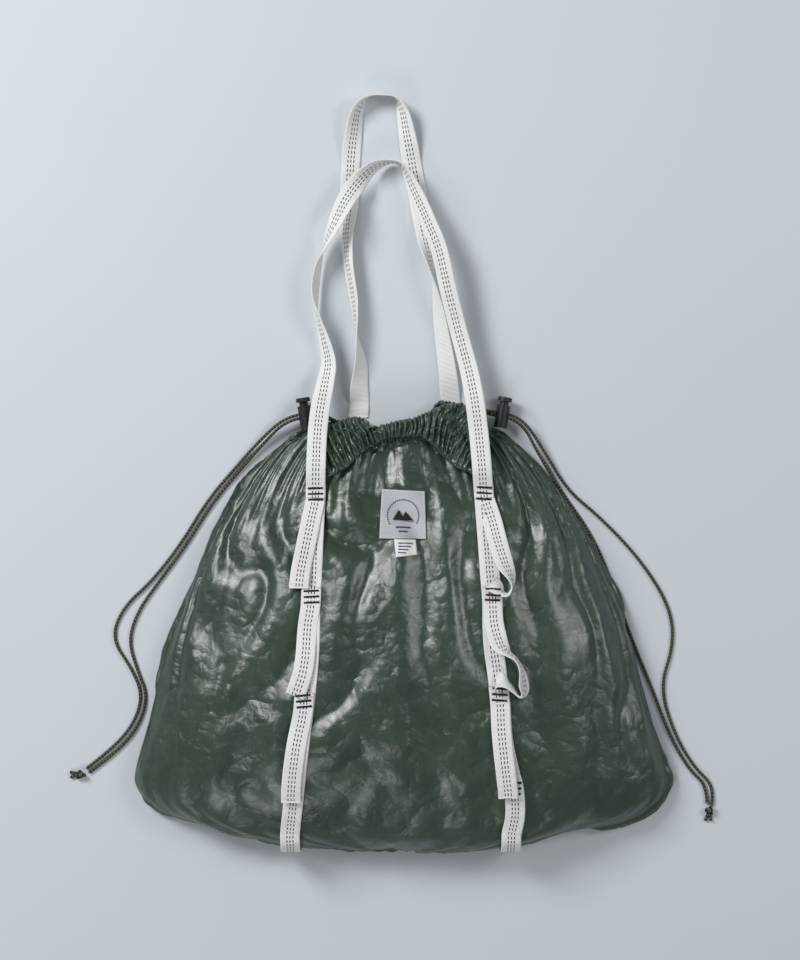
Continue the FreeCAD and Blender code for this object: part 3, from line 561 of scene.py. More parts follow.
def add_shell():
    """Front, back and bottom fabric as one closed skin, open only at the mouth."""
    rows = shell_rows()
    ring = 2 * COLUMNS
    points = []
    for y in rows:
        width = float(half_width(y)) - SHELL_INSET
        thin = min(1.0, 0.3 + (y - BOTTOM_Y - EDGE_ROW) / 2.0)
        for column in range(ring):
            if column <= COLUMNS:
                angle = math.pi * (column / COLUMNS - 0.5)
                x = width * math.sin(angle)
                z = SEAM_Z + (float(top_height(x, y)) - SHELL_INSET - SEAM_Z) * thin
            else:
                angle = math.pi * (0.5 - (column - COLUMNS) / COLUMNS)
                x = width * math.sin(angle)
                z = float(under_height(x, y)) + 1.0
                z = z if thin >= 1.0 else SEAM_Z + (z - SEAM_Z) * thin
            points.append((x, y, z))
    faces = ring_faces(len(rows), ring)
    last = (len(rows) - 1) * ring
    for column in range(COLUMNS):
        left_under = last + (ring - column) % ring
        right_under = last + (ring - column - 1) % ring
        if column == 0:
            faces.append((last, last + ring - 1, last + 1))
        elif column == COLUMNS - 1:
            faces.append((last + column, left_under, last + column + 1))
        else:
            faces.append((last + column, left_under, right_under, last + column + 1))
    shell = make_object("bag_fabric", points, [tuple(reversed(f)) for f in faces], NYLON)
    base = read_points(shell)
    column = np.arange(len(base)) % ring
    row_y = np.repeat(rows, ring)
    front = column <= COLUMNS
    across = np.where(front, column / COLUMNS * 2.0 - 1.0, 1.0 - (column - COLUMNS) / COLUMNS * 2.0)
    gathered = np.where(front, hem_stitch_y(base[:, 0]), MOUTH_Y)
    down = np.maximum(0.0, gathered - row_y)
    fold = pleats(across, down, 5)
    edge = 1.0 - np.abs(across) ** 6
    fold = np.where(front, fold * edge, fold * 0.15 * edge)
    swell = noise(base / 85.0, 21) * 3.2 + noise(base / 48.0, 22) * 1.8
    calm = np.clip(down / 70.0, 0.0, 1.0)
    fold = fold + np.where(front, swell * calm, 0.0)
    shaped = base + normals_of(shell) * fold[:, None]
    shaped[:, 2] = np.maximum(shaped[:, 2], REST_Z + 0.4)
    write_points(shell, shaped)
    return shell, front, np.maximum(0.0, MOUTH_Y - row_y)


def crush(shell, front, down):
    """Lets the cloth grow a little more than its form, so that it buckles into natural folds."""
    start = read_points(shell)
    group = shell.vertex_groups.new(name="held")
    held = (down < 3.0) | (~front & (start[:, 2] < 6.0))
    group.add([int(i) for i in np.nonzero(held)[0]], 1.0, "REPLACE")
    cloth = shell.modifiers.new("Cloth", "CLOTH")
    settings = cloth.settings
    settings.quality = 7
    settings.mass = 0.12
    settings.tension_stiffness = settings.compression_stiffness = 18.0
    settings.shear_stiffness = 9.0
    settings.bending_stiffness = 0.01
    settings.tension_damping = settings.compression_damping = settings.shear_damping = 12.0
    settings.air_damping = 6.0
    settings.shrink_min = settings.shrink_max = -0.11
    settings.vertex_group_mass = "held"
    settings.use_pressure = True
    settings.uniform_pressure_force = 0.1
    settings.effector_weights.gravity = 0.25
    cloth.collision_settings.use_collision = False
    cloth.collision_settings.use_self_collision = False
    cloth.point_cache.frame_start = 1
    cloth.point_cache.frame_end = CLOTH_FRAMES
    scene = bpy.context.scene
    for step in range(1, CLOTH_FRAMES + 1):
        scene.frame_set(step)
    apply_modifier(shell, cloth)
    scene.frame_set(1)
    shift = read_points(shell) - start
    far = np.linalg.norm(shift, axis=1)
    scale = np.where(far > CLOTH_CAP, CLOTH_CAP / np.maximum(far, 1e-6), 1.0)
    write_points(shell, start + shift * scale[:, None])


def keep_inside(points):
    """Holds the fabric within a few millimetres of the CAD panels, and below the front handle."""
    y = points[:, 1]
    room = half_width(y) + 6.0
    points[:, 0] = np.clip(points[:, 0], -room, room)
    points[:, 1] = np.clip(points[:, 1], BOTTOM_Y - 3.0, MOUTH_Y + 4.0)
    points[:, 2] = np.clip(points[:, 2], REST_Z, CROWN_Z + 9.0)
    points[:, 2] = np.minimum(points[:, 2], under_handle(points[:, 0], y))
    return points


def under_handle(x, y):
    """Highest that fabric may reach beside and under the legs of the front handle."""
    low = np.interp(y, [-40.0, -14.0, 0.0, 20.0, 40.0, 62.0], [200.0, 46.5, 44.5, 38.5, 32.0, 25.5])
    beside = np.clip((np.abs(np.abs(x) - HANDLE_X) - HANDLE_ROOM) / 8.0, 0.0, 1.0)
    return np.where(y < -40.0, 200.0, low + 60.0 * beside)


def add_fabric():
    """The finished fabric shell."""
    shell, front, down = add_shell()
    crush(shell, front, down)
    subdivide(shell)
    points = read_points(shell)
    normals = normals_of(shell)
    upward = np.clip(normals[:, 2] * 2.0 + 0.4, 0.1, 1.0)
    across = points[:, 0] / half_width(points[:, 1])
    down = MOUTH_Y - points[:, 1]
    fanned = np.stack([across * 190.0, down * 0.42, points[:, 2] * 0.6], axis=1)
    relief = crumple(points, 120.0, 311) * 10.0 + crumple(fanned, 66.0, 317) * 13.0
    relief = relief + crumple(points, 50.0, 302) * 5.0 + crumple(fanned, 27.0, 305) * 3.2
    relief = relief + crumple(points, 19.0, 303) * 1.1
    relief = np.tanh((relief - 2.0) / 10.0) * 10.0 * np.clip((down + 6.0) / 40.0, 0.25, 1.0)
    points = points + normals * (relief * upward)[:, None]
    write_points(shell, keep_inside(points))
    return shell


FABRIC = add_fabric()


class Ground:
    """Finds the top of a mesh under a point."""

    def __init__(self, *objects):
        self.trees = []
        for obj in objects:
            self.add(obj)

    def add(self, obj):
        mesh = obj.data
        corners = [v.co.copy() for v in mesh.vertices]
        self.trees.append(BVHTree.FromPolygons(corners, [tuple(p.vertices) for p in mesh.polygons]))

    def height(self, x, y, missing=0.0):
        best = None
        for tree in self.trees:
            hit = tree.ray_cast(Vector((x * MM, y * MM, 0.3)), Vector((0, 0, -1)))
            if hit[0] is not None:
                z = hit[0].z / MM
                best = z if best is None else max(best, z)
        return missing if best is None else best


# ---------------------------------------------------------------- the gathered hem
BED = Ground(FABRIC)
HEM_COLUMNS = 340
HEM_ROWS = 34
HEM_HALF = 84.0          # half of the mouth's width
HEM_ARC = 95.0           # half of the gathered cloth's width across the mouth
HEM_TURN_IN = 20.0
OUTER_SHARE = 0.66       # of the rows outside the edge, and INNER_SHARE inside it
INNER_SHARE = 0.34
FINE_PLEAT = 6.4
WIDE_PLEAT = 15.5


def hem_half(name, front, seed):
    """One side of the drawcord casing, crushed into pleats and rolled over at its edge.

    s runs across the mouth from -1 to 1; v runs from the stitching over the edge and down inside."""
    row, column = np.divmod(np.arange(HEM_ROWS * HEM_COLUMNS), HEM_COLUMNS)
    v = row / (HEM_ROWS - 1.0)
    s = column / (HEM_COLUMNS - 1.0) * 2.0 - 1.0
    x = HEM_HALF * np.sin(s * math.pi / 2.0)
    lump = 3.0 * noise_at(x / 9.0, 0.0, seed, seed + 8)
    edge = hem_edge_y(x) + lump * 0.6 - (2.0 if front else 0.0)
    stitch = hem_stitch_y(x) + lump * 0.5 if front else np.full_like(x, 26.0)
    outer = np.clip(v / OUTER_SHARE, 0.0, 1.0)
    inner = np.clip((v - OUTER_SHARE) / INNER_SHARE, 0.0, 1.0)
    y = stitch + (edge - stitch) * outer - inner * HEM_TURN_IN
    flat_y = np.minimum(y, MOUTH_Y - 0.5)
    over = np.clip((y - (MOUTH_Y - 6.0)) / 24.0, 0.0, 1.3)
    if front:
        form = top_height(x, flat_y)
        bed = np.array([BED.height(px, min(py, MOUTH_Y - 2.0), high) for px, py, high in zip(x, y, form)])
        bulge = 5.0 * np.sin(math.pi * np.clip(outer * 0.8 + 0.04, 0.0, 1.0)) ** 0.7 - 1.8 * (outer < 0.03)
        z = np.where(inner > 0, form - 4.0, np.maximum(bed, form * 0.55 + bed * 0.45)) + bulge - 5.5 * over
        z = z - inner * 6.0
    else:
        z = under_height(x, flat_y) + 3.5 + 5.0 * over + inner * 4.0
    arc = s * HEM_ARC
    drift = noise_at(arc / 26.0, v * 1.6, seed, seed)
    jitter = noise_at(arc / 9.0, v * 2.8, seed + 3.0, seed + 1)
    middle = np.exp(-((x - 3.0) / 30.0) ** 2)
    slant = (1.0 - middle) * np.sign(x) * (edge - y) * 0.35
    fine = np.sin(2.0 * math.pi * (arc + slant) / FINE_PLEAT + 2.6 * drift + 1.6 * jitter)
    wide = np.sin(2.0 * math.pi * (arc + slant * 1.4) / WIDE_PLEAT + 3.4 * drift + 1.2 * jitter)
    fine = 1.0 - 1.9 * np.abs(fine) ** 0.75
    wide = 1.0 - 1.9 * np.abs(wide) ** 0.75
    size = 1.0 + 0.7 * noise_at(arc / 14.0, v * 1.5, 9.0, seed + 4)
    pleat = fine * (1.2 + 1.3 * middle) * size + wide * (3.4 - 2.0 * middle)
    pleat *= np.clip(outer * 6.0, 0.25, 1.0)
    z = z + pleat * (1.0 if front else 0.7)
    y = y + np.where(outer > 0.85, 1.2 * fine * size + 1.6 * jitter, 0.8 * jitter)
    x = x + 1.6 * drift
    z = np.minimum(np.clip(z, REST_Z + 0.3, 46.0), under_handle(x, y) - 0.8)
    points = np.stack([x, y, z], axis=1)
    obj = make_object(name, points, grid_faces(HEM_ROWS, HEM_COLUMNS), HEM_NYLON)
    thicken(obj, 0.5, -1.0)
    subdivide(obj)
    spots = read_points(obj)
    relief = crumple(spots, 18.0, seed + 70) * 1.5 + crumple(spots, 9.0, seed + 71) * 0.5
    spots = spots + normals_of(obj) * relief[:, None]
    spots[:, 2] = np.minimum(spots[:, 2], under_handle(spots[:, 0], spots[:, 1]))
    write_points(obj, spots)
    return obj


HEM_FRONT = hem_half("hem_ruffle_front", True, 61)
HEM_BACK = hem_half("hem_ruffle_back", False, 83)
GROUND = Ground(FABRIC, HEM_FRONT, HEM_BACK)


# ---------------------------------------------------------------- webbing
STEP = 2.0
BASE_GAP = 0.2           # base webbing above the fabric
TURN_Y = -350.0          # where the base webbing starts to turn round the bottom edge
UNDER_Z = 0.75           # middle of the webbing under the bag
BACK_GAP = 0.3           # back handle above the table
# Cross-section of the webbing: position across and through, with rounded edges
SECTION = [(-0.5, -0.15), (-0.47, 0.42), (-0.42, 0.5), (-0.2, 0.5), (0.0, 0.5), (0.2, 0.5), (0.42, 0.5),
           (0.47, 0.42), (0.5, -0.15), (0.47, -0.42), (0.42, -0.5), (0.2, -0.5), (0.0, -0.5), (-0.2, -0.5),
           (-0.42, -0.5), (-0.47, -0.42)]


def along_line(line):
    """Distance of each point from the start of a line."""
    return np.concatenate([[0.0], np.cumsum(np.linalg.norm(np.diff(line, axis=0), axis=1))])


def smooth_path(points):
    """Catmull-Rom curve through the rows of an array, with a point about every STEP millimetres."""
    points = np.asarray(points, float)
    padded = np.vstack([2 * points[0] - points[1], points, 2 * points[-1] - points[-2]])
    out = []
    for index in range(1, len(padded) - 2):
        p0, p1, p2, p3 = padded[index - 1:index + 3]
        count = max(2, int(np.linalg.norm(p2[:3] - p1[:3]) / STEP))
        for t in np.arange(count) / count:
            out.append(0.5 * (2 * p1 + (p2 - p0) * t + (2 * p0 - 5 * p1 + 4 * p2 - p3) * t ** 2
                              + (3 * p1 - p0 - 3 * p2 + p3) * t ** 3))
    out.append(points[-1])
    return np.array(out)


def strap(name, centres, acrosses, *cad_nodes, rides=True):
    """Webbing swept along centres, with the given width directions; a handle doesn't ride."""
    centres = np.asarray(centres, float)
    tangents = np.gradient(centres, axis=0)
    tangents /= np.linalg.norm(tangents, axis=1)[:, None]
    across = np.asarray(acrosses, float)
    across = across - tangents * np.sum(across * tangents, axis=1)[:, None]
    across /= np.linalg.norm(across, axis=1)[:, None]
    normal = np.cross(across, tangents)
    length = along_line(centres)
    points = []
    uv = []
    for index in range(len(centres)):
        for a, b in SECTION:
            points.append(centres[index] + across[index] * a * WIDTH + normal[index] * b * THICK)
            uv.append((a if b > 0 else a + 2.0, length[index] * MM))
    obj = make_object(name, points, tube_faces(len(centres), len(SECTION)), WEBBING, uv)
    if rides:
        belongs(obj, "webbing", *cad_nodes)
    else:
        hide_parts(*cad_nodes)
    return obj


def headings(path):
    """Unit directions of a path seen from above."""
    heading = np.gradient(path[:, :2], axis=0)
    return heading / np.linalg.norm(heading, axis=1)[:, None]


def rolled(path, beds):
    """Centres and width directions from (x, y, clearance, roll) rows, each above its bed."""
    centres = []
    acrosses = []
    for (x, y, low, roll), (hx, hy), bed in zip(path, headings(path), beds):
        turn = math.radians(roll)
        side = np.array([hy, -hx, 0.0])
        across = side * math.cos(turn) + np.array([0.0, 0.0, 1.0]) * math.sin(turn)
        lift = WIDTH / 2.0 * abs(math.sin(turn)) + THICK / 2.0 * abs(math.cos(turn))
        centres.append((x, y, bed + low + lift))
        acrosses.append(across)
    return centres, acrosses


def smooth_values(values, reach):
    """Moving average with the ends kept."""
    padded = np.pad(values, reach, mode="edge")
    kernel = np.ones(2 * reach + 1) / (2 * reach + 1)
    return np.convolve(padded, kernel, mode="valid")


def bed_height(x, y, side):
    """Second highest of five spots under a strap's width, so that one peak doesn't lift it."""
    spots = [GROUND.height(x + side[0] * k, y + side[1] * k) for k in (-9.0, -4.5, 0.0, 4.5, 9.0)]
    return sorted(spots)[-2]


def laid_strap(name, stations, *cad_nodes, turn_x=None):
    """Strap that follows the fabric, its bed smoothed along its length, with a turn round the bottom edge."""
    path = smooth_path(stations)
    bed = np.array([bed_height(x, y, (hy, -hx)) for (x, y), (hx, hy) in zip(path[:, :2], headings(path))])
    crest = np.array([bed[max(0, k - 3):k + 4].max() for k in range(len(bed))])
    centres, acrosses = rolled(path, smooth_values(crest, 4))
    if turn_x is not None:
        rounded = smooth_path(bottom_turn(turn_x, centres[-1][2]))[2:]
        centres += [tuple(p) for p in rounded]
        acrosses += [np.array([-1.0, 0.0, 0.0])] * len(rounded)
    return strap(name, centres, acrosses, *cad_nodes)


def bottom_turn(x, z_top):
    """Points of the base webbing round the bottom edge and onto the floor side."""
    start_y = TURN_Y
    edge = BOTTOM_Y + 1.2
    centres = [(x, start_y, z_top)]
    for step in range(1, 12):
        turn = math.radians(90.0 - 15.0 * step)
        if turn > 0:
            y = start_y + (edge - start_y) * math.cos(turn)
            z = SEAM_Z + (z_top - SEAM_Z) * math.sin(turn)
        else:
            y = start_y + (edge - start_y) * math.cos(turn) ** 0.5
            z = SEAM_Z - (SEAM_Z - UNDER_Z) * math.sin(-turn) ** 0.5
        centres.append((x, y, z))
    centres.append((x, TURN_Y + 1.0, UNDER_Z))
    return centres


LEFT_BASE = [
    (-82.0, -15), (-82.4, -30), (-83.5, -60), (-84.8, -100), (-86.3, -125), (-86.6, -160),
    (-88.2, -190), (-91.5, -222), (-95.0, -250), (-99.5, -288), (-103.0, -320), (-105.5, -340),
    (-106.6, -350),
]
RIGHT_BASE = [
    (80.0, -15), (80.4, -30), (82.5, -60), (84.6, -95), (86.8, -125), (87.0, -150), (88.2, -170),
    (91.0, -191), (93.8, -215), (96.5, -255), (102.5, -285), (107.5, -305), (109.0, -330),
    (105.8, -350),
]


def add_bases():
    """Both sewn base webbings with their turn round the bottom, and the legs under the back."""
    for side, route, low_x, top_x in (("left", LEFT_BASE, -105.0, -41.0), ("right", RIGHT_BASE, 104.5, 49.5)):
        stations = [(x, y, BASE_GAP, 0) for x, y in route]
        nodes = ["base_webbing_" + side, "bottom_wrap_" + side]
        STRAPS.append(laid_strap("base_strap_" + side, stations, *nodes, turn_x=route[-1][0]))
        path = smooth_path([(low_x, TURN_Y, UNDER_Z), (low_x * 0.72 + top_x * 0.28, -230.0, UNDER_Z),
                            (low_x * 0.4 + top_x * 0.6, -90.0, UNDER_Z), (top_x, 65.0, UNDER_Z)])
        strap("back_strap_" + side, path, np.tile((1.0, 0.0, 0.0), (len(path), 1)), "back_webbing_" + side)


STRAPS = []
add_bases()
SEWN = Ground(FABRIC, *STRAPS)

TACKS = {
    "left": [(-82.4, -23.4, 2.0), (-85.6, -121.4, 3.0), (-92.3, -219.5, 5.0), (-102.5, -308.0, 5.0)],
    "right": [(80.2, -22.6, -4.0), (87.2, -118.9, -2.0), (93.6, -213.6, -4.0), (107.0, -303.0, -5.0)],
}
# Outer webbing between bartacks as (x, y, height above the base, roll); a fold runs back under itself
LEFT_OUTER = [
    [(-82.0, -15, 1.6, 0), (-82.4, -28, 1.6, 0), (-86.0, -47, 2.2, 0), (-90.5, -70, 3.4, 3),
     (-95.5, -95, 4.8, 5), (-97.2, -108, 5.0, 4), (-97.4, -113.3, 4.6, 0)],
    [(-85.6, -112, 1.6, 0), (-86.0, -128, 1.6, 0), (-89.0, -150, 2.2, 0), (-90.8, -177, 3.4, 3),
     (-93.5, -194, 4.2, 5), (-98.0, -208, 4.8, 6), (-100.6, -214.6, 4.4, 0)],
    [(-91.5, -211, 1.6, 0), (-93.2, -232, 1.6, 0), (-98.5, -258, 2.4, 0), (-102.5, -285, 3.6, 3),
     (-104.4, -305, 4.6, 4), (-104.6, -317.0, 4.4, 0)],
]
RIGHT_OUTER = [
    [(80.0, -15, 1.6, 0), (80.2, -26, 1.6, 0), (87.0, -47, 2.0, 0), (94.0, -74, 2.6, 14),
     (99.5, -91, 3.2, 34), (104.0, -102, 3.6, 62), (105.4, -111, 3.8, 84), (101.5, -118.6, 3.6, 94),
     (94.5, -117.0, 3.4, 112), (89.5, -112.0, 2.8, 138), (85.0, -108.5, 2.2, 160)],
    [(87.0, -112, 1.6, 0), (87.4, -126, 1.6, 0), (88.0, -143, 2.0, 4), (90.8, -157, 2.4, 14),
     (94.6, -167.5, 3.0, 38), (101.0, -174, 3.4, 72), (108.4, -179.5, 3.6, 82), (113.2, -188, 3.6, 78),
     (115.8, -199, 3.4, 62), (116.2, -209, 3.2, 58), (112.6, -215.2, 3.2, 84),
     (106.4, -209.0, 3.2, 100), (100.4, -203.8, 3.0, 108), (94.6, -200.8, 2.6, 130),
     (90.5, -200.6, 2.0, 155)],
    [(92.4, -205, 1.6, 0), (94.2, -224, 1.6, 0), (95.0, -245, 2.4, 0), (97.0, -268, 3.6, 0),
     (99.8, -292, 4.6, -3), (101.6, -306, 4.8, -3), (101.9, -312.6, 4.4, 0)],
]


def add_daisies():
    """Outer webbing of both legs, loop by loop."""
    for side, loops in (("left", LEFT_OUTER), ("right", RIGHT_OUTER)):
        for number, stations in enumerate(loops, start=1):
            nodes = ["daisy_webbing_" + side] if number == 1 else []
            STRAPS.append(laid_strap("daisy_%s_%d" % (side, number), stations, *nodes))


add_daisies()
LAID = Ground(FABRIC, *STRAPS)


# ---------------------------------------------------------------- free handles, as routed in the CAD model
FRONT_HANDLE = [
    (-82.0, 0.0, 46.0, 0.0), (-81.5, 20.0, 40.0, 0.0), (-80.5, 40.0, 33.5, 0.0),
    (-78.0, 62.0, 27.0, 0.0), (-74.0, 84.0, 16.0, 20.0), (-71.0, 105.0, 7.0, 38.0),
    (-75.0, 126.0, 3.4, 55.0), (-80.5, 148.0, 3.4, 78.0), (-84.0, 172.0, 3.4, 108.0),
    (-81.0, 198.0, 3.4, 106.0), (-74.0, 220.0, 8.0, 72.0), (-64.0, 241.0, 18.0, 40.0),
    (-52.0, 266.0, 16.0, 8.0), (-38.0, 285.0, 10.0, -34.0), (-24.0, 297.0, 5.0, -66.0),
    (-8.0, 301.0, 3.4, -88.0), (3.0, 294.0, 5.0, -74.0), (13.6, 271.0, 9.0, -44.0),
    (26.0, 242.0, 17.5, -38.0), (37.0, 213.0, 23.5, -32.0), (46.0, 174.0, 21.5, -30.0),
    (56.0, 135.0, 17.0, -28.0), (66.0, 97.0, 21.0, -20.0), (71.5, 66.0, 30.5, -6.0),
    (74.5, 42.0, 34.0, 0.0), (76.5, 20.0, 41.0, 0.0), (78.0, 0.0, 46.5, 0.0),
]
# The back handle lies on the table, so its stations are (x, y, roll).
BACK_HANDLE = [
    (-41.0, 82.0, 155.0), (-39.5, 105.0, 128.0), (-43.0, 132.0, 92.0), (-46.0, 165.0, 66.0),
    (-51.5, 200.0, 60.0), (-53.5, 232.0, 44.0), (-51.0, 264.0, 8.0), (-49.5, 300.0, 0.0),
    (-46.5, 330.0, -28.0), (-42.0, 353.0, -60.0), (-32.0, 365.2, -95.0), (-17.0, 368.3, -108.0),
    (-5.0, 363.7, -92.0), (1.5, 351.0, -56.0), (6.0, 328.0, -26.0), (11.0, 300.0, 0.0),
    (17.5, 264.0, 0.0), (24.0, 230.0, 18.0), (30.0, 195.0, 78.0), (36.0, 160.0, 120.0),
    (40.5, 130.0, 140.0), (45.5, 98.0, 158.0),
]


def add_handles():
    """Both free loops. Each runs on under its bartacks."""
    left = [LAID.height(-82.4, y) for y in (-27.5, -20.0)]
    right = [LAID.height(80.2, y) for y in (-27.5, -20.0)]
    front_stations = [(-82.6, -27.5, left[0] + 0.1, 0.0), (-82.4, -20.0, left[1] + 0.2, 0.0)] + FRONT_HANDLE
    front_stations += [(79.6, -20.0, right[1] + 0.2, 0.0), (80.3, -27.5, right[0] + 0.1, 0.0)]
    back_stations = [(-41.5, 52.0, 0.1, 180.0), (-41.0, 64.5, 0.1, 180.0)]
    back_stations += [(x, y, BACK_GAP, roll) for x, y, roll in BACK_HANDLE]
    back_stations += [(49.0, 64.5, 0.1, 180.0), (49.0, 52.0, 0.1, 180.0)]
    for child, stations, start, end in (
            ("front_handle", front_stations, (0.0, -0.012, 0.05), (0.0, 0.03, 0.04)),
            ("back_handle", back_stations, (0.0, 0.064, 0.001), (0.0, 0.09, 0.001))):
        path = smooth_path(stations)
        handle = strap(child + "_strap", *rolled(path, np.zeros(len(path))), child, rides=False)
        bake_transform(handle)
        if child == "front_handle":
            LAID.add(handle)


add_handles()


# ---------------------------------------------------------------- bartacks
TACK_STEPS = 22
TACK_RING = 8
TACK_HALF = 7.3          # half of a bar's length
TACK_PITCH = 5.5         # between the bars of one bartack


def add_tacks():
    """Three bars of wound black thread at each bartack."""
    for side in ("left", "right"):
        points = []
        faces = []
        for number, (x, y, lean) in enumerate(TACKS[side]):
            for bar in (-1, 0, 1):
                turn = math.radians(lean)
                along = np.array([math.cos(turn), math.sin(turn), 0.0])
                ahead = np.array([-math.sin(turn), math.cos(turn), 0.0])
                middle = np.array([x, y, 0.0]) - ahead * bar * TACK_PITCH
                under = SEWN if number == 3 else LAID
                height = max(under.height(middle[0] + k, middle[1]) for k in (-6, 0, 6)) + 0.3
                first = len(points)
                for index in range(TACK_STEPS + 1):
                    t = index / TACK_STEPS * 2.0 - 1.0
                    swell = 1.0 + 0.16 * math.sin(index * 2.3 + bar) + 0.1 * math.sin(index * 5.1)
                    for k in range(TACK_RING):
                        angle = 2.0 * math.pi * k / TACK_RING
                        points.append(middle + along * t * TACK_HALF + ahead * 0.95 * swell * math.cos(angle)
                                      + np.array([0, 0, height + 0.55 * swell * math.sin(angle)]))
                faces += [tuple(first + i for i in f) for f in ring_faces(TACK_STEPS + 1, TACK_RING)]
                faces.append(tuple(first + i for i in reversed(range(TACK_RING))))
                faces.append(tuple(first + TACK_STEPS * TACK_RING + i for i in range(TACK_RING)))
        belongs(make_object("bartack_thread_" + side, points, faces, THREAD), "thread", "bartacks_" + side)


add_tacks()


# ---------------------------------------------------------------- labels
STITCHES = 17            # along each edge of the label
RING_RADIUS = 15.0


def face_up(obj, thickness):
    """Turns a flat piece's faces up and thickens it upwards."""
    for polygon in obj.data.polygons:
        if polygon.normal.z < 0:
            polygon.flip()
    thicken(obj, thickness, 1.0)


def draped_patch(name, corners, material, lift, cells, thickness):
    """Small panel laid on the smoothed fabric; corners run round from the upper left."""
    upper_left, upper_right, lower_right, lower_left = [np.array(c) for c in corners]
    rows, columns = cells
    points = []
    for row in range(rows + 1):
        v = row / rows
        for column in range(columns + 1):
            u = column / columns
            top = upper_left * (1 - u) + upper_right * u
            low = lower_left * (1 - u) + lower_right * u
            x, y = top * (1 - v) + low * v
            points.append([x, y, 0.0])
    points = np.array(points)
    raw = np.array([GROUND.height(x, y) for x, y in points[:, :2]])
    bed = raw.reshape(rows + 1, columns + 1)
    for smoothing in range(14):
        padded = np.pad(bed, 1, mode="edge")
        bed = (padded[:-2, 1:-1] + padded[2:, 1:-1] + padded[1:-1, :-2] + padded[1:-1, 2:] + 2 * bed) / 6.0
    sink = np.max(raw - bed.ravel())
    points[:, 2] = bed.ravel() + min(sink, 5.0) * 0.8 + lift
    obj = make_object(name, points, [tuple(reversed(f)) for f in grid_faces(rows + 1, columns + 1)], material)
    face_up(obj, thickness)
    return obj


def mark(name, outlines, ground, material, slot_name):
    """Flat printed or woven shapes lying on a patch, from closed outlines."""
    points = []
    faces = []
    for outline in outlines:
        first = len(points)
        flat = np.array(outline)
        low, high = flat.min(axis=0), flat.max(axis=0)
        xs, ys = np.meshgrid(np.linspace(low[0], high[0], 5), np.linspace(low[1], high[1], 4))
        spots = np.stack([xs.ravel(), ys.ravel(), np.ones(xs.size)], axis=1)
        heights = np.array([ground.height(x, y, 40.0) for x, y in spots[:, :2]])
        plane = np.linalg.lstsq(spots, heights, rcond=None)[0]
        above = np.max(heights - spots @ plane) + 0.08
        for x, y in outline:
            points.append((x, y, float(plane @ (x, y, 1.0)) + above))
        faces.append(tuple(range(first, len(points))))
    obj = make_object(name, points, faces, material, smooth=False)
    face_up(obj, 0.12)
    belongs(obj, slot_name)


def bar(x0, y0, x1, y1, half):
    """Outline of a short straight bar."""
    along = np.array([x1 - x0, y1 - y0])
    along = along / np.linalg.norm(along)
    side = np.array([-along[1], along[0]]) * half
    start = np.array([x0, y0])
    end = np.array([x1, y1])
    return [tuple(start - side), tuple(end - side), tuple(end + side), tuple(start + side)]


def add_labels():
    """Woven label with a plain mountain mark, and the white tag below it."""
    corners = [(-18.6, -18.6), (22.9, -20.9), (24.3, -66.8), (-20.9, -66.2)]
    label = draped_patch("woven_label", corners, LABEL, 0.9, (26, 28), 0.5)
    belongs(label, "label", "label_patch")
    ground = Ground(label)
    dashes = []
    loop = corners + [corners[0]]
    centre = np.mean(np.array(corners), axis=0)
    for start, end in zip(loop, loop[1:]):
        a = centre + (np.array(start) - centre) * 0.955
        b = centre + (np.array(end) - centre) * 0.955
        for index in range(STITCHES):
            p = a + (b - a) * (index + 0.2) / STITCHES
            q = a + (b - a) * (index + 0.72) / STITCHES
            dashes.append(bar(*p, *q, 0.28))
    mark("label_stitches", dashes, ground, EDGE_STITCH, "label")
    arcs = []
    for index in range(30):
        start, end = (math.radians(214.0 - index * 8.3 - gap) for gap in (0.0, 5.0))
        cx, cy = 2.0, -44.0
        arcs.append(bar(cx + RING_RADIUS * math.cos(start), cy + RING_RADIUS * math.sin(start),
                        cx + RING_RADIUS * math.cos(end), cy + RING_RADIUS * math.sin(end), 0.75))
    mark("label_ring", arcs, ground, MARK_BLUE, "label")
    peaks = [[(-8.0, -48.0), (-2.0, -38.5), (2.8, -48.0)], [(-0.5, -48.6), (4.4, -40.2), (11.5, -48.6)]]
    mark("label_mountain", peaks, ground, THREAD, "thread")
    bars = [bar(-5.0, -55.0, 9.0, -55.6, 0.7), bar(-2.0, -59.0, 6.2, -59.4, 0.7)]
    mark("label_bars", bars, ground, MARK_BLUE, "label")
    tag_corners = [(-6.8, -66.6), (14.0, -67.2), (15.5, -81.7), (-4.9, -83.9)]
    tag = draped_patch("care_tag", tag_corners, TAG, 1.3, (10, 12), 0.4)
    belongs(tag, "tag", "side_tag")
    rows = [bar(-2.6, -70.2 - 3.0 * k, 11.4 - 2.2 * k, -70.6 - 3.0 * k, 0.5) for k in range(4)]
    mark("tag_bars", rows, Ground(tag), MARK_BLUE, "tag")


add_labels()


# ---------------------------------------------------------------- cords
FLOOR_CORD_Z = 1.65
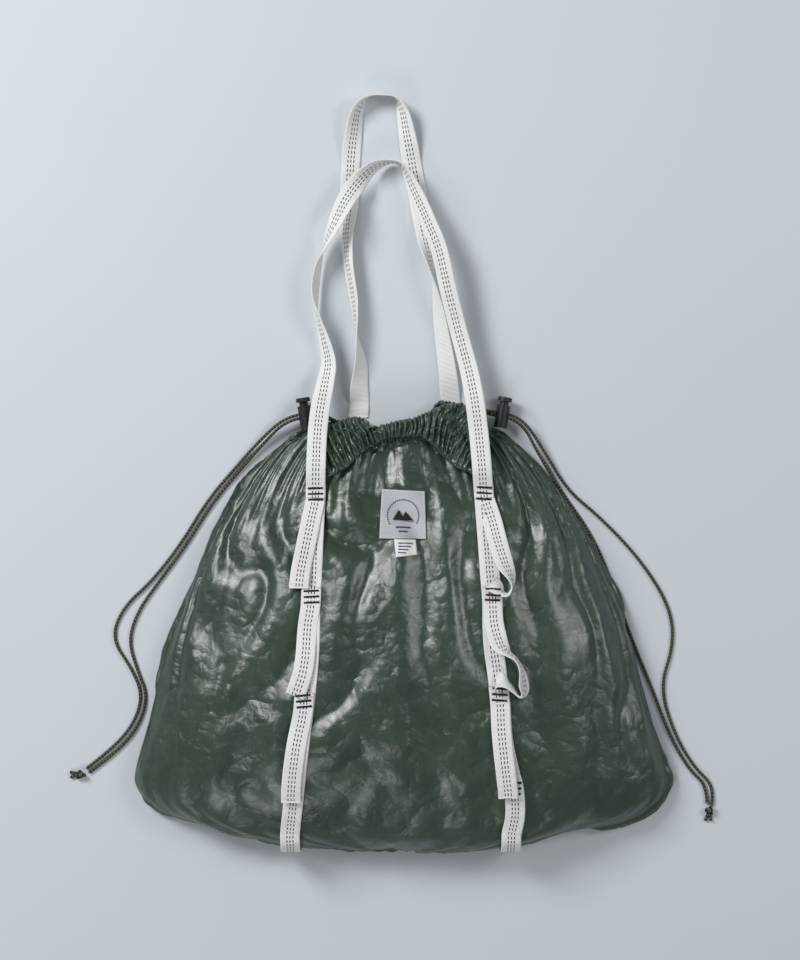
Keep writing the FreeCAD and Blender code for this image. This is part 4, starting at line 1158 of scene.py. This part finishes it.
# Each tail's side, its points above the floor as (x, y, z), and the rest as (x, y) on the floor.
TAILS = {
    "tail_left_outer": ("left", [
        (-64.0, 47.5, 22.0), (-79.4, 57.1, 12.0), (-112.5, 51.9, 12.0), (-137.0, 30.5, 5.5)], [
        (-163.0, 1.5), (-190.0, -30.0), (-216.0, -73.0), (-245.0, -110.0), (-272.0, -134.0),
        (-285.0, -165.0), (-264.0, -196.0), (-253.5, -222.0), (-263.5, -252.0), (-287.0, -277.0),
        (-309.0, -293.5)]),
    "tail_left_inner": ("left", [
        (-64.0, 47.5, 7.9), (-78.9, 53.6, 12.0), (-112.0, 48.4, 12.0), (-133.5, 27.5, 5.5)], [
        (-159.5, -2.0), (-186.0, -33.5), (-212.0, -76.0), (-239.0, -111.5), (-258.5, -139.0),
        (-268.0, -168.0), (-258.5, -198.0), (-248.5, -223.0), (-259.0, -255.0), (-284.0, -281.5),
        (-306.5, -297.5)]),
    "tail_right_outer": ("right", [
        (64.0, 60.5, 22.0), (85.0, 57.8, 12.0), (118.0, 52.0, 12.0), (140.0, 19.0, 5.5)], [
        (163.0, -20.0), (195.0, -46.0), (235.0, -88.0), (264.0, -134.0), (268.0, -172.0),
        (254.0, -214.0), (269.0, -261.0), (288.0, -292.5), (308.0, -311.0), (305.0, -328.5)]),
    "tail_right_inner": ("right", [
        (64.0, 60.5, 7.9), (84.4, 54.4, 12.0), (117.4, 48.6, 12.0), (136.0, 13.0, 5.5)], [
        (159.0, -24.0), (187.0, -63.0), (208.0, -112.0), (226.0, -165.0), (247.0, -216.0),
        (264.5, -263.5), (284.0, -296.0), (300.0, -309.5), (300.5, -327.5)]),
}


def spline_points(route):
    """Points along the smooth line of a route: a NURBS spline with the route as control points."""
    curve = bpy.data.curves.new("route", "CURVE")
    curve.dimensions = "3D"
    spline = curve.splines.new("NURBS")
    spline.points.add(len(route) - 1)
    for point, (x, y, z) in zip(spline.points, route):
        point.co = (x * MM, y * MM, z * MM, 1.0)
    spline.order_u = 3
    spline.use_endpoint_u = True
    spline.resolution_u = 12
    holder = bpy.data.objects.new("route", curve)
    mesh = bpy.data.meshes.new_from_object(holder)
    points = np.array([v.co for v in mesh.vertices]) / MM
    bpy.data.objects.remove(holder)
    return points


def sweep_round(name, line, radius):
    """Round cord along a line, mapped once round and by length."""
    ring = 12
    tangents = np.gradient(line, axis=0)
    tangents /= np.linalg.norm(tangents, axis=1)[:, None]
    side = np.cross(tangents, np.array([0.0, 0.0, 1.0]))
    side /= np.maximum(np.linalg.norm(side, axis=1), 1e-6)[:, None]
    up = np.cross(side, tangents)
    length = along_line(line)
    points = []
    uv = []
    for index in range(len(line)):
        for k in range(ring):
            angle = 2.0 * math.pi * k / ring
            out = side[index] * math.cos(angle) + up[index] * math.sin(angle)
            points.append(line[index] + out * radius)
            uv.append((abs(k / ring * 2.0 - 1.0), length[index] * MM))
    return make_object(name, points, tube_faces(len(line), ring), CORD, uv), length[-1]


KNOT_STEPS = 63


def add_knot(node, centre, heading, ends):
    """Knot of the paired cords: two turns round themselves, then two short ends."""
    cx, cy = centre
    angle = math.atan2(heading[1], heading[0])
    turns = []
    for index in range(KNOT_STEPS + 1):
        t = index / KNOT_STEPS
        spin = t * 4.0 * math.pi
        forward = (t - 0.5) * 7.5 + 1.6 * math.sin(spin * 0.5)
        side = 2.5 * math.cos(spin)
        high = 4.3 + 2.1 * math.sin(spin)
        turns.append((cx + forward * math.cos(angle) - side * math.sin(angle),
                      cy + forward * math.sin(angle) + side * math.cos(angle), high))
    body = sweep_round(node + "_cord", np.array(turns), 1.75)[0]
    pieces = [body]
    for number, (dx, dy) in enumerate(ends, start=1):
        route = [(cx, cy, 3.6), (cx + dx * 0.55, cy + dy * 0.55, 2.2), (cx + dx, cy + dy, FLOOR_CORD_Z)]
        pieces.append(sweep_round("%s_end_%d" % (node, number), smooth_path(route), CORD_RADIUS)[0])
    bpy.ops.object.select_all(action="DESELECT")
    for piece in pieces:
        piece.select_set(True)
    bpy.context.view_layer.objects.active = body
    bpy.ops.object.join()
    belongs(body, "cord", node)
    return body


KNOTS = {
    "left": add_knot("knot_left", (-314.5, -298.5), (-1.0, -0.35), [(-10.5, 1.5), (-10.0, -3.5)]),
    "right": add_knot("knot_right", (302.0, -334.0), (0.0, -1.0), [(-3.0, -10.5), (2.5, -10.5)]),
}


def add_tails():
    """The four free cord ends, two to each knot."""
    for node, (side, raised, lying) in TAILS.items():
        line = spline_points(raised + [(x, y, FLOOR_CORD_Z) for x, y in lying])
        obj, length = sweep_round(node + "_cord", line, CORD_RADIUS)
        belongs(obj, "cord", node)


add_tails()


def add_hem_cords():
    """The doubled cords inside the casing, which dip with it between the two exits."""
    for side, sign, z in (("left", -1.0, 8.0), ("right", 1.0, 13.5)):
        there = [(x * -sign, float(hem_edge_y(x * -sign)) - 12.0, z) for x in np.linspace(-64.0, 58.0, 16)]
        back = [(x, y - 3.6, z) for x, y, ignored in reversed(there)]
        loop = sweep_round("hem_cord_%s_loop" % side, smooth_path(there + back), CORD_RADIUS)[0]
        belongs(loop, "cord", "hem_cord_" + side)


add_hem_cords()


# ---------------------------------------------------------------- fabric riding, and the CAD pieces that stay
def assign(node, material):
    """Gives a kept CAD node its material."""
    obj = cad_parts[node]
    obj.data.materials.clear()
    obj.data.materials.append(material)


def shorten_spring(side):
    """Gives a lock's spring its own copy of its mesh."""
    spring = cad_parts["lock_spring_" + side]
    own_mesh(spring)


belongs(FABRIC, "shell", "front_panel", "back_panel", "bottom_panel")
belongs(HEM_FRONT, "shell", "hem_front")
belongs(HEM_BACK, "shell", "hem_back")
for lock_side in ("left", "right"):
    assign("lock_barrel_" + lock_side, PLASTIC)
    assign("lock_plunger_" + lock_side, PLASTIC)
    assign("lock_spring_" + lock_side, STEEL)
    shorten_spring(lock_side)


# ---------------------------------------------------------------- stage
def add_floor():
    """Plain pale table."""
    n = Nodes("pale_table")
    mottling = n.noise(n.object_coordinates(), 3.0, 3.0)["Fac"]
    color = n.mix(mottling, (0.60, 0.645, 0.68, 1), (0.63, 0.67, 0.705, 1))
    material = n.finish(color, 0.85, None, 0.2)
    far = 4000.0
    corners = [(-far, -far, 0), (far, -far, 0), (far, far, 0), (-far, far, 0)]
    make_object("table", corners, [(0, 1, 2, 3)], material)


def add_light(name, place, target, size, power):
    """Soft square lamp aimed at a point."""
    data = bpy.data.lights.new(name, "AREA")
    data.shape = "SQUARE"
    data.size = size
    data.energy = power
    lamp = bpy.data.objects.new(name, data)
    lamp.location = place
    lamp.rotation_euler = (Vector(target) - Vector(place)).to_track_quat("-Z", "Y").to_euler()
    bpy.context.scene.collection.objects.link(lamp)


def add_stage():
    """Floor, lamps, sky and camera."""
    add_floor()
    add_light("key", (-1.5, 1.25, 1.7), (0, -0.05, 0), 0.9, 48.0)
    add_light("right", (1.7, 0.5, 1.6), (0, -0.1, 0), 0.7, 12.0)
    add_light("low", (-0.9, -1.9, 1.6), (0, -0.1, 0), 0.8, 11.0)
    world = bpy.data.worlds.new("studio")
    world.use_nodes = True
    world.node_tree.nodes["Background"].inputs[0].default_value = (0.92, 0.96, 1.0, 1)
    world.node_tree.nodes["Background"].inputs[1].default_value = 0.25
    bpy.context.scene.world = world
    data = bpy.data.cameras.new("camera")
    data.lens = 85.0
    data.sensor_fit = "VERTICAL"
    data.sensor_height = 36.0
    camera = bpy.data.objects.new("camera", data)
    view_height = 0.931
    distance = view_height * data.lens / data.sensor_height
    camera.location = (-0.001, -0.010, 0.03 + distance)
    bpy.context.scene.collection.objects.link(camera)
    bpy.context.scene.camera = camera
    bpy.context.scene.view_settings.view_transform = "Standard"


add_stage()
